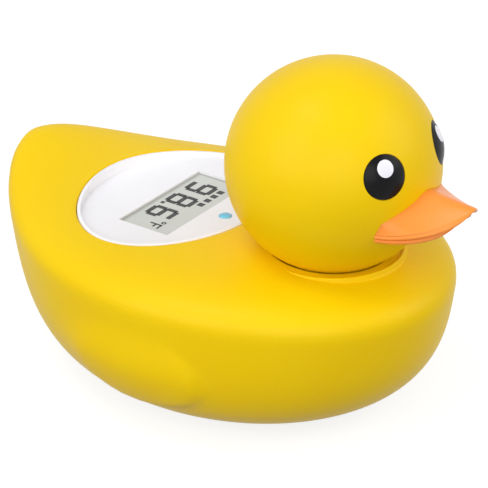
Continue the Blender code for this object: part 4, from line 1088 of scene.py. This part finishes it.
@dataclass
class Bill:
    """The orange bill: a lofted moulding with an upper and a lower lip.

    Attributes:
        root_x: Where the lip's plan starts, ahead of the head's centre.
        square: Power of the lip's plan, where 2 is round.
        root_width: Width at the head, and inner_width to floor_width those behind it, as shares.
        slope_share: How far the upper slope runs before the lip turns down.
        seat_fit: Air between ball and bill.
        sweep: How far the sections turn to either side, in degrees.
    """

    root_x: float = 16.26 * MM
    reach: float = 18.6 * MM
    half_width: float = 12.61 * MM
    square: float = 1.555
    tip_drop: float = 0.5 * MM
    corner_drop: float = 6.04 * MM
    lip_curve: float = 0.5
    lip_blend: float = 0.12
    arch_top: float = 0.46 * MM
    arch_fall: float = 3.26 * MM
    arch_curve: float = 1.84
    crown: float = 0.9 * MM
    crown_width: float = 0.28
    saddle: float = 1.2
    corner_size: float = 0.504
    tip_thin: float = 0.72
    tip_thin_curve: float = 8.8
    floor: float = 8.6 * MM
    inner_x: float = 15.0 * MM
    root_width: float = 0.95
    inner_width: float = 0.85
    wall_width: float = 0.93
    floor_width: float = 0.9
    slope_share: float = 0.94
    slope_steps: int = 12
    lip_thick: float = 1.3 * MM
    lip_round: float = 0.5 * MM
    mouth_depth: float = 1.2 * MM
    mouth_height: float = 0.4 * MM
    lower_lip: float = 1.81 * MM
    lower_inset: float = 0.35 * MM
    tip_inset: float = 2.3 * MM
    tip_inset_curve: float = 8.0
    seat_fit: float = 0.05 * MM
    sweep: float = 88.0
    columns: int = 81

    def lip_fall(self, share: float) -> float:
        """How far the lip has dropped at a place along it.

        Args:
            share: Share of the half width, from 0 at the tip to 1 at the corner.

        Returns:
            The drop, as a share of the corner's.
        """
        blend, power = self.lip_blend, self.lip_curve
        low = blend**power
        high = (1.0 + blend**2) ** (power / 2)
        return ((share**2 + blend**2) ** (power / 2) - low) / (high - low)

    def lips(self, ahead: float) -> Profile:
        """The rounded upper lip, the mouth's groove and the lower lip.

        Args:
            ahead: 1 at the tip and 0 at the corners.

        Returns:
            Points outward and downward from the upper lip's edge.
        """
        turn, thick, deep = self.lip_round, self.lip_thick, self.mouth_depth
        mouth = thick + self.mouth_height
        lower = self.lower_inset + turn + self.tip_inset * ahead**self.tip_inset_curve
        upper = [(0.0, 0.0), (0.7 * turn, 0.2 * thick), (turn, 0.55 * thick), (0.85 * turn, 0.85 * thick)]
        groove = [(0.4 * turn, thick), (-0.6 * deep, thick), (-deep, thick), (-deep, mouth), (-0.6 * deep, mouth)]
        under = [(0.3 * turn - lower, mouth), (0.9 * turn - lower, mouth + 0.12 * self.lower_lip)]
        under += [(1.4 * turn - lower, mouth + 0.5 * self.lower_lip), (0.0 - lower, mouth + self.lower_lip)]
        return upper + groove + under

    def section(self, turn: float, head: Head) -> list[Vector]:
        """One closed section, from the head out over the upper lip and back along the lower one.

        Args:
            turn: From -90 to 90 degrees round the bill, in radians.
            head: The ball that carries it.

        Returns:
            The section's points.
        """
        aside = math.sin(turn)
        ahead = abs(math.cos(turn)) ** (2 / self.square)
        y_lip = self.half_width * signed_power(aside, 2 / self.square)
        x_lip = self.root_x + self.reach * ahead
        z_lip = -self.tip_drop - self.corner_drop * self.lip_fall(abs(y_lip) / self.half_width)
        y_root = self.half_width * aside * self.root_width
        z_root = -self.arch_top - self.arch_fall * abs(aside) ** self.arch_curve
        z_root += self.crown * math.exp(-((aside / self.crown_width) ** 2))
        x_root = math.sqrt(head.radius**2 - y_root**2 - z_root**2)
        size = self.corner_size + (1.0 - self.corner_size) * ahead
        size *= 1.0 - self.tip_thin * ahead**self.tip_thin_curve
        inner, wall = (self.inner_x, self.inner_width * y_root), x_root - head.wall
        points = [(*inner, z_root), (wall, self.wall_width * y_root, z_root)]
        for step in range(self.slope_steps + 1):
            share = self.slope_share * step / self.slope_steps
            z = z_root + (z_lip - z_root) * (1.0 - (1.0 - share) ** self.saddle)
            points.append((x_root + (x_lip - x_root) * share, y_root + (y_lip - y_root) * share, z))
        for out, down in self.lips(ahead):
            step = (out - self.lip_round) * size
            points.append((x_lip + step * math.cos(turn), y_lip + step * aside, z_lip - down * size))
        points += [(wall, self.floor_width * y_root, -self.floor), (*inner, -self.floor)]
        return [head.centre + Vector(point) for point in points]

    def build(self, head: Head) -> Object:
        """The bill, laid from a flat grid whose rows become its sections.

        Args:
            head: The ball that carries it.

        Returns:
            The finished bill.
        """
        last = self.columns - 1
        turns = [math.radians(-self.sweep + 2 * self.sweep * i / last) for i in range(self.columns)]
        sections = [self.section(turn, head) for turn in turns]
        count = len(sections[0])
        deselect_all()
        bpy.ops.mesh.primitive_grid_add(x_subdivisions=count - 1, y_subdivisions=last, size=2.0)
        bill = named("bill")
        for vertex in bill.data.vertices:
            index = round((vertex.co.x + 1.0) / 2.0 * (count - 1))
            column = round((vertex.co.y + 1.0) / 2.0 * last)
            vertex.co = sections[column][index]
        with editing(bill):
            self.close_inner_side(bill, count)
            bpy.ops.mesh.select_all(action="DESELECT")
            bpy.ops.mesh.select_non_manifold()
            bpy.ops.mesh.fill_holes(sides=0)
            face_outward()
        apply_modifier(bill, "SUBSURF", levels=1, render_levels=1)
        combine(bill, head.ball("bill_seat", head.radius + self.seat_fit))
        return finish_piece(bill, BILL_VINYL, "beak", angle=50.0)

    def close_inner_side(self, bill: Object, count: int) -> None:
        """Joins the grid's first and last rows of points inside the head.

        Args:
            bill: The object in edit mode.
            count: Points in one section.
        """
        mesh = bmesh.from_edit_mesh(bill.data)
        mesh.verts.ensure_lookup_table()
        for edge in mesh.edges:
            rows = {vertex.index % count for vertex in edge.verts}
            edge.select = rows in ({0}, {count - 1})
        bmesh.update_edit_mesh(bill.data)
        bpy.ops.mesh.bridge_edge_loops()


# A quarter round in four steps: growth outward and height over the deck, as shares of its radius.
ROUND_OVER = ((0.0, -1.0), (0.11, -0.55), (0.38, -0.2), (0.92, 0.04))


@dataclass
class Display:
    """The white oval surround, the display in it with its figures, and the indicator lens.

    Attributes:
        ledge_z: Height of the ledge that carries the surround.
        window_x: From the oval's middle to the display's.
        clearance: How far a cutter runs past what it cuts.
        pane_gap: Air round the display's front.
        pane_drop: How far the front reaches below the surround.
    """

    half_x: float = 20.6 * MM
    half_y: float = 25.8 * MM
    centre_x: float = -16.7 * MM
    panel_z: float = 36.4 * MM
    panel_thick: float = 1.6 * MM
    rim_width: float = 0.6 * MM
    rim_round: float = 0.35 * MM
    ledge_z: float = 33.5 * MM
    fit: float = 0.15 * MM
    clearance: float = 4.0 * MM
    window_x: float = 1.1 * MM
    window_long: float = 29.6 * MM
    window_wide: float = 13.2 * MM
    window_corner: float = 0.8 * MM
    corner_steps: int = 6
    window_recess: float = 0.5 * MM
    pane_gap: float = 0.05 * MM
    pane_drop: float = 1.2 * MM
    led_x: float = 12.5 * MM
    lens_radius: float = 1.4 * MM
    lens_gap: float = 0.08 * MM
    lens_rise: float = 0.4 * MM
    lens_steps: int = 9
    flange_radius: float = 1.9 * MM
    flange_drop: float = 0.45 * MM
    flange_thick: float = 0.3 * MM
    hole_sides: int = 64
    lens_sides: int = 72
    sides: int = 160

    @property
    def led(self) -> Vector:
        """Where the lens's axis meets the ground."""
        return Vector((self.centre_x + self.led_x, 0.0, 0.0))

    @property
    def under(self) -> float:
        """Height of the surround's underside."""
        return self.panel_z - self.panel_thick

    def outline(self) -> Profile:
        """Points round the oval."""
        turns = [math.tau * i / self.sides for i in range(self.sides)]
        return [(self.centre_x + self.half_x * math.cos(t), self.half_y * math.sin(t)) for t in turns]

    def opening(self, rim: list[float], lip: float) -> Object:
        """The cutter for the deck's opening: straight below, and rounded over at the deck.

        Args:
            rim: Height of the deck at each point of the oval.
            lip: Radius of the rounded edge.

        Returns:
            The cutter.
        """
        steps = [(grow * lip, above * lip) for grow, above in ROUND_OVER]
        cutter = self.following("deck_opening", rim, self.ledge_z - self.clearance, steps)
        with editing(cutter):
            self.pick_top(cutter)
            bpy.ops.mesh.extrude_region()
            high = (self.centre_x, 0.0, max(rim) + self.clearance)
            bpy.ops.transform.resize(value=(1.0, 1.0, 0.0), center_override=high)
        return cutter

    def pick_top(self, obj: Object) -> None:
        """Selects the wide face at the top of an oval solid.

        Args:
            obj: The solid, in edit mode.
        """
        mesh = bmesh.from_edit_mesh(obj.data)
        wide = [face for face in mesh.faces if len(face.verts) == self.sides]
        max(wide, key=lambda face: face.calc_center_median().z).select = True
        bmesh.update_edit_mesh(obj.data)

    def following(self, name: str, rim: list[float], low: float, steps: Profile) -> Object:
        """An oval solid whose upper rings follow the deck's height.

        Args:
            name: The object's name.
            rim: Height of the deck at each point of the oval.
            low: Height of its flat bottom.
            steps: Growth and height over the deck of each ring.

        Returns:
            The closed solid.
        """
        deselect_all()
        place = (self.centre_x, 0.0, low)
        bpy.ops.mesh.primitive_circle_add(vertices=self.sides, radius=1.0, fill_type="NGON", location=place)
        obj = named(name)
        obj.scale = (self.half_x, self.half_y, 1.0)
        settle(obj)
        with editing(obj):
            bpy.ops.mesh.select_all(action="SELECT")
            for grow, above in steps:
                bpy.ops.mesh.extrude_region()
                self.lay_ring(obj, rim, grow, above)
            face_outward()
        return obj

    def lay_ring(self, obj: Object, rim: list[float], grow: float, above: float) -> None:
        """Lays the selected ring beside the oval, at a height over the deck.

        Args:
            obj: The solid, in edit mode.
            rim: Height of the deck at each point of the oval.
            grow: How far outside the oval it lies.
            above: Its height over the deck.
        """
        mesh = bmesh.from_edit_mesh(obj.data)
        for vertex in mesh.verts:
            if not vertex.select:
                continue
            turn = math.atan2(vertex.co.y / self.half_y, (vertex.co.x - self.centre_x) / self.half_x)
            index = round(turn / math.tau * self.sides) % self.sides
            x = self.centre_x + (self.half_x + grow) * math.cos(math.tau * index / self.sides)
            y = (self.half_y + grow) * math.sin(math.tau * index / self.sides)
            vertex.co = (x, y, rim[index] + above)
        bmesh.update_edit_mesh(obj.data)

    def window_block(self, name: str, low: float, high: float, gap: float) -> Object:
        """An upright block with round corners, of the display's plan.

        Args:
            name: The object's name.
            low: Height of its bottom.
            high: Height of its top.
            gap: How much smaller it is all round.

        Returns:
            The block.
        """
        middle = self.centre_x + self.window_x
        wide, long = self.window_wide / 2 - gap, self.window_long / 2 - gap
        made = block(name, (middle - wide, -long, low), (middle + wide, long, high))
        return bevel_upright(made, self.window_corner, self.corner_steps)

    def build(self, rim: list[float]) -> None:
        """Surround, display, figures and lens.

        Args:
            rim: Height of the deck at each point of the oval.
        """
        self.surround(rim)
        self.glass()
        figures = Figures(self.centre_x + self.window_x, self.panel_z - self.window_recess)
        finish_piece(figures.build(), SEGMENT_INK)
        self.lens()

    def surround(self, rim: list[float]) -> Object:
        """The white oval with its rounded rim, its sunk face and its openings.

        Args:
            rim: Height of the deck at each point of the oval.

        Returns:
            The finished surround.
        """
        lip = self.rim_round
        steps = [(-self.fit, -lip), (-self.fit - 0.3 * lip, -0.3 * lip), (-self.fit - lip, 0.0)]
        body = self.following("display_surround", rim, self.under, steps)
        with editing(body):
            self.pick_top(body)
            bpy.ops.mesh.inset(thickness=self.rim_width - 0.5 * lip, depth=0.0)
            bpy.ops.mesh.extrude_region()
            bpy.ops.transform.resize(value=(1.0, 1.0, 0.0), center_override=(self.centre_x, 0.0, self.panel_z))
            face_outward()
        low, high = self.under - MM, self.panel_z + MM
        combine(body, self.window_block("window_opening", low, high, 0.0))
        wide = self.lens_radius + self.lens_gap
        combine(body, turned("lens_opening", [(wide, low), (wide, high)], self.hole_sides, self.led))
        return finish_piece(body, PANEL_ABS, "display_bezel", angle=40.0)

    def glass(self) -> Object:
        """The display's front, level in its opening."""
        low, high = self.under - self.pane_drop, self.panel_z - self.window_recess
        return finish_piece(self.window_block("display_front", low, high, self.pane_gap), DISPLAY_FILM, "lcd_window")

    def lens(self) -> Object:
        """The indicator's domed lens with its flange."""
        low = self.under - self.flange_drop
        step = low + self.flange_thick
        profile = [(self.flange_radius, low), (self.flange_radius, step), (self.lens_radius, step + NUDGE)]
        for index in range(self.lens_steps):
            angle = 0.5 * math.pi * index / self.lens_steps
            height = self.panel_z + self.lens_rise * math.sin(angle)
            profile.append((self.lens_radius * math.cos(angle), height))
        return finish_piece(turned("indicator_lens", profile, self.lens_sides, self.led), LENS_ACRYLIC, "led_lens")


# Lit segments, lettered clockwise from the top one, with the middle one last.
LIT = {"9": "abcdfg", "8": "abcdefg", "6": "acdefg"}
# The unit's letter, in millimetres from the foot of its stem: place along and up, length, and whether it is upright.
UNIT_BARS = ((0.0, 1.5, 3.1, True), (0.85, 2.85, 1.7, False), (0.7, 1.5, 1.3, False))


@dataclass
class Figures:
    """Seven-segment figures. They read toward the duck's right, with their tops toward its head.

    Attributes:
        middle_x: Middle of the display.
        floor_z: Height of the display's front.
        stroke: Width of a segment.
        gap: Between two segments.
        mitre: Bevel of a segment's corners, as a share of its stroke.
        pitch: From one figure to the next.
        start: Left edge of the first figure from the middle.
        base: Foot of the figures from the middle.
        unit_x: From the last figure's end to the unit's stem, and degree_x from there back to the ring.
        block_x: Middle of the first plain block.
    """

    middle_x: float
    floor_z: float
    height: float = 6.8 * MM
    width: float = 5.0 * MM
    stroke: float = 1.12 * MM
    gap: float = 0.26 * MM
    mitre: float = 0.48
    pitch: float = 7.3 * MM
    start: float = -11.2 * MM
    base: float = -4.9 * MM
    relief: float = 0.04 * MM
    reading: str = "986"
    point_x: float = 0.75 * MM
    point_long: float = 0.95 * MM
    point_wide: float = 0.85 * MM
    unit_x: float = 0.45 * MM
    unit_up: float = 4.3 * MM
    unit_stroke: float = 0.45 * MM
    degree_x: float = 1.25 * MM
    degree_up: float = 2.6 * MM
    degree_radius: float = 0.42 * MM
    degree_wire: float = 0.18 * MM
    block_x: float = -9.4 * MM
    block_up: float = 3.3 * MM
    block_pitch: float = 2.45 * MM
    block_size: float = 1.5 * MM
    block_count: int = 4

    def bar(self, along: tuple[float, float], length: float, stroke: float, upright: bool) -> Object:
        """One mitred bar.

        Args:
            along: Its middle, along the reading and up the figure.
            length: Its length.
            stroke: Its width.
            upright: Whether it stands up the figure.

        Returns:
            The bar.
        """
        reach_x, reach_y = (length, stroke) if upright else (stroke, length)
        x = self.middle_x + along[1]
        y = -along[0]
        low = (x - reach_x / 2, y - reach_y / 2, self.floor_z)
        high = (x + reach_x / 2, y + reach_y / 2, self.floor_z + self.relief)
        return bevel_upright(block("bar", low, high), self.mitre * stroke, 1)

    def figure(self, left: float, lit: str) -> list[Object]:
        """The lit bars of one figure.

        Args:
            left: Its left edge.
            lit: Letters of its lit segments.

        Returns:
            The bars.
        """
        half = self.height / 2
        inner = self.stroke / 2
        tall = half - inner - self.gap
        wide = self.width - self.stroke - self.gap
        middle = left + self.width / 2
        low, mid, top = self.base + inner, self.base + half, self.base + self.height - inner
        near, far = left + inner, left + self.width - inner
        places = {
            "a": ((middle, top), wide, False),
            "b": ((far, (mid + top) / 2), tall, True),
            "c": ((far, (mid + low) / 2), tall, True),
            "d": ((middle, low), wide, False),
            "e": ((near, (mid + low) / 2), tall, True),
            "f": ((near, (mid + top) / 2), tall, True),
            "g": ((middle, mid), wide, False),
        }
        return [self.bar(places[letter][0], places[letter][1], self.stroke, places[letter][2]) for letter in lit]

    def unit(self) -> list[Object]:
        """The unit: a letter of three fine bars, and its degree ring."""
        stem = self.start + 3 * self.pitch + self.unit_x
        foot = self.base + self.unit_up
        bars = []
        for aside, up, length, upright in UNIT_BARS:
            bars.append(self.bar((stem + aside * MM, foot + up * MM), length * MM, self.unit_stroke, upright))
        deselect_all()
        bpy.ops.mesh.primitive_torus_add(
            major_radius=self.degree_radius,
            minor_radius=self.degree_wire,
            location=(self.middle_x + foot + self.degree_up, self.degree_x - stem, self.floor_z + self.relief / 2),
        )
        ring = named("degree")
        ring.scale = (1.0, 1.0, self.relief / (2 * self.degree_wire))
        return [*bars, settle(ring)]

    def build(self) -> Object:
        """All figures, their point, the unit and the plain blocks, joined as one thin piece."""
        bars = []
        for index, digit in enumerate(self.reading):
            bars += self.figure(self.start + index * self.pitch, LIT[digit])
        point = (self.start + self.pitch + self.width + self.point_x, self.base + self.stroke / 2)
        bars.append(self.bar(point, self.point_long, self.point_wide, False))
        bars += self.unit()
        for index in range(self.block_count):
            place = (self.block_x + index * self.block_pitch, self.block_up)
            bars.append(self.bar(place, self.block_size, self.block_size, False))
        activate(bars[0])
        for bar in bars:
            bar.select_set(True)
        bpy.ops.object.join()
        return settle(named("display_figures"))


@dataclass(frozen=True)
class Lamp:
    """A square white softbox.

    Attributes:
        name: The lamp's name.
        place: Where it hangs.
        size: Its side.
        watts: Its power.
    """

    name: str
    place: tuple[float, float, float]
    size: float
    watts: float


@dataclass
class Studio:
    """Camera, lights, floor and backdrop.

    Attributes:
        target: What the camera looks at.
        azimuth: How far the camera stands round from the duck's beak line, toward its right.
        elevation: How far it looks down.
        distance: From the target.
        lens_mm: Focal length on a sensor of sensor_mm.
        room_light: Strength of the even light that fills the room.
        floor_drop: How far the floor lies below the part.
        floor_matt: Floor's colour for the light that fills the room.
        floor_dim: Its colour as the camera sees it, under a glow of strength floor_glow.
    """

    target: Vector = field(default_factory=lambda: Vector((0.79 * MM, 0.0, 30.94 * MM)))
    azimuth: float = math.radians(54.6)
    elevation: float = math.radians(27.39)
    distance: float = 601.6 * MM
    lens_mm: float = 203.02
    sensor_mm: float = 36.0
    nearest: float = 10.0 * MM
    room: str = "#FBFBFD"
    room_light: float = 0.48
    floor_size: float = 8.0
    floor_drop: float = 0.02 * MM
    floor_matt: str = "#8C8C8C"
    floor_dim: str = "#9A9A9A"
    floor_glow: float = 0.8
    lamps: tuple[Lamp, ...] = (
        Lamp("key", (-0.21, -0.77, 0.45), 0.6, 2.8),
        Lamp("front", (0.52, -0.62, 0.4), 0.6, 2.6),
        Lamp("fill", (0.68, 0.39, 0.48), 0.6, 2.2),
        Lamp("top", (-0.2, -0.25, 0.86), 0.3, 1.6),
    )

    def camera(self) -> None:
        """The camera at the photograph's angle."""
        data = bpy.data.cameras.new("camera")
        data.lens = self.lens_mm
        data.sensor_width = self.sensor_mm
        data.clip_start = self.nearest
        camera = bpy.data.objects.new("camera", data)
        bpy.context.scene.collection.objects.link(camera)
        across = Vector((math.sin(self.azimuth), math.cos(self.azimuth), 0.0))
        flat = math.cos(self.elevation)
        toward = Vector((math.cos(self.azimuth) * flat, -math.sin(self.azimuth) * flat, math.sin(self.elevation)))
        matrix = Matrix((across, toward.cross(across), toward)).transposed().to_4x4()
        matrix.translation = self.target + self.distance * toward
        camera.matrix_world = matrix
        bpy.context.scene.camera = camera

    def softbox(self, lamp: Lamp) -> None:
        """Hangs one softbox and aims it at the duck.

        Args:
            lamp: Its sizes.
        """
        data = bpy.data.lights.new(lamp.name, "AREA")
        data.shape = "SQUARE"
        data.size = lamp.size
        data.energy = lamp.watts
        hung = bpy.data.objects.new(lamp.name, data)
        bpy.context.scene.collection.objects.link(hung)
        hung.location = lamp.place
        hung.rotation_euler = (self.target - Vector(lamp.place)).to_track_quat("-Z", "Y").to_euler()

    def sight(self, tree: NodeTree) -> NodeSocket:
        """Tells the rays that see a white studio from the light that fills it.

        Args:
            tree: The tree that takes it.

        Returns:
            1 for camera, glossy and transmission rays, and 0 for the others.
        """
        path = add_node(tree, "ShaderNodeLightPath")
        seen = path.outputs["Is Camera Ray"]
        for ray in ("Is Glossy Ray", "Is Transmission Ray"):
            seen = add_node(tree, "ShaderNodeMath", {0: seen, 1: path.outputs[ray]}, operation="MAXIMUM").outputs[0]
        return seen

    def world(self) -> None:
        """An even pale room, which camera, gloss and glass rays see as white."""
        world = bpy.data.worlds.new("studio")
        bpy.context.scene.world = world
        world.use_nodes = True
        tree = world.node_tree
        tree.nodes.clear()
        seen = self.sight(tree)
        room = add_node(tree, "ShaderNodeBackground", {"Color": linear(self.room), "Strength": self.room_light})
        white = add_node(tree, "ShaderNodeBackground", {"Color": linear(WHITE), "Strength": 1.0})
        mix = add_node(tree, "ShaderNodeMixShader", {0: seen, 1: room.outputs[0], 2: white.outputs[0]})
        add_node(tree, "ShaderNodeOutputWorld", {"Surface": mix.outputs[0]})

    def floor(self) -> None:
        """A pale floor that keeps the duck's shadow and runs out into the white room."""
        deselect_all()
        bpy.ops.mesh.primitive_plane_add(size=self.floor_size, location=(0.0, 0.0, -self.floor_drop))
        floor = named("studio_floor")
        material = bpy.data.materials.new("studio_floor")
        material.use_nodes = True
        tree = material.node_tree
        tree.nodes.clear()
        seen = self.sight(tree)
        matt = add_node(tree, "ShaderNodeBsdfDiffuse", {"Color": linear(self.floor_matt)})
        dim = add_node(tree, "ShaderNodeBsdfDiffuse", {"Color": linear(self.floor_dim)})
        glow = add_node(tree, "ShaderNodeEmission", {"Color": linear(WHITE), "Strength": self.floor_glow})
        both = add_node(tree, "ShaderNodeAddShader", {0: dim.outputs[0], 1: glow.outputs[0]})
        mix = add_node(tree, "ShaderNodeMixShader", {0: seen, 1: matt.outputs[0], 2: both.outputs[0]})
        add_node(tree, "ShaderNodeOutputMaterial", {"Surface": mix.outputs[0]})
        floor.data.materials.append(material)

    def build(self) -> None:
        """Sets the whole studio up."""
        bpy.context.scene.view_settings.view_transform = "Standard"
        self.camera()
        for lamp in self.lamps:
            self.softbox(lamp)
        self.world()
        self.floor()


def dress_cad_nodes() -> None:
    """Gives every node that stays from the CAD model its procedural finish."""
    finishes = {finish.slot.value: finish for finish in CAD_FINISHES}
    for entry in frame["record"]["subparts"]:
        node = frame["nodes"].get(entry["node"])
        if node is None:
            continue
        material = finishes[entry["material_slot"]].material()
        for slot in node.material_slots:
            slot.material = material


def main() -> None:
    """Builds the looks in order."""
    logging.basicConfig(level=logging.INFO, format="%(name)s: %(message)s")
    Studio().build()
    dress_cad_nodes()
    head, display, eyes, hull = Head(), Display(), Eyes(), Hull()
    skin = hull.skin("hull_shell")
    rim = hull.rim_heights(skin, display)
    hull.build(skin, rim, head, display)
    head.build(eyes)
    eyes.build(head)
    Bill().build(head)
    display.build(rim)


if __name__ == "__main__":
    main()
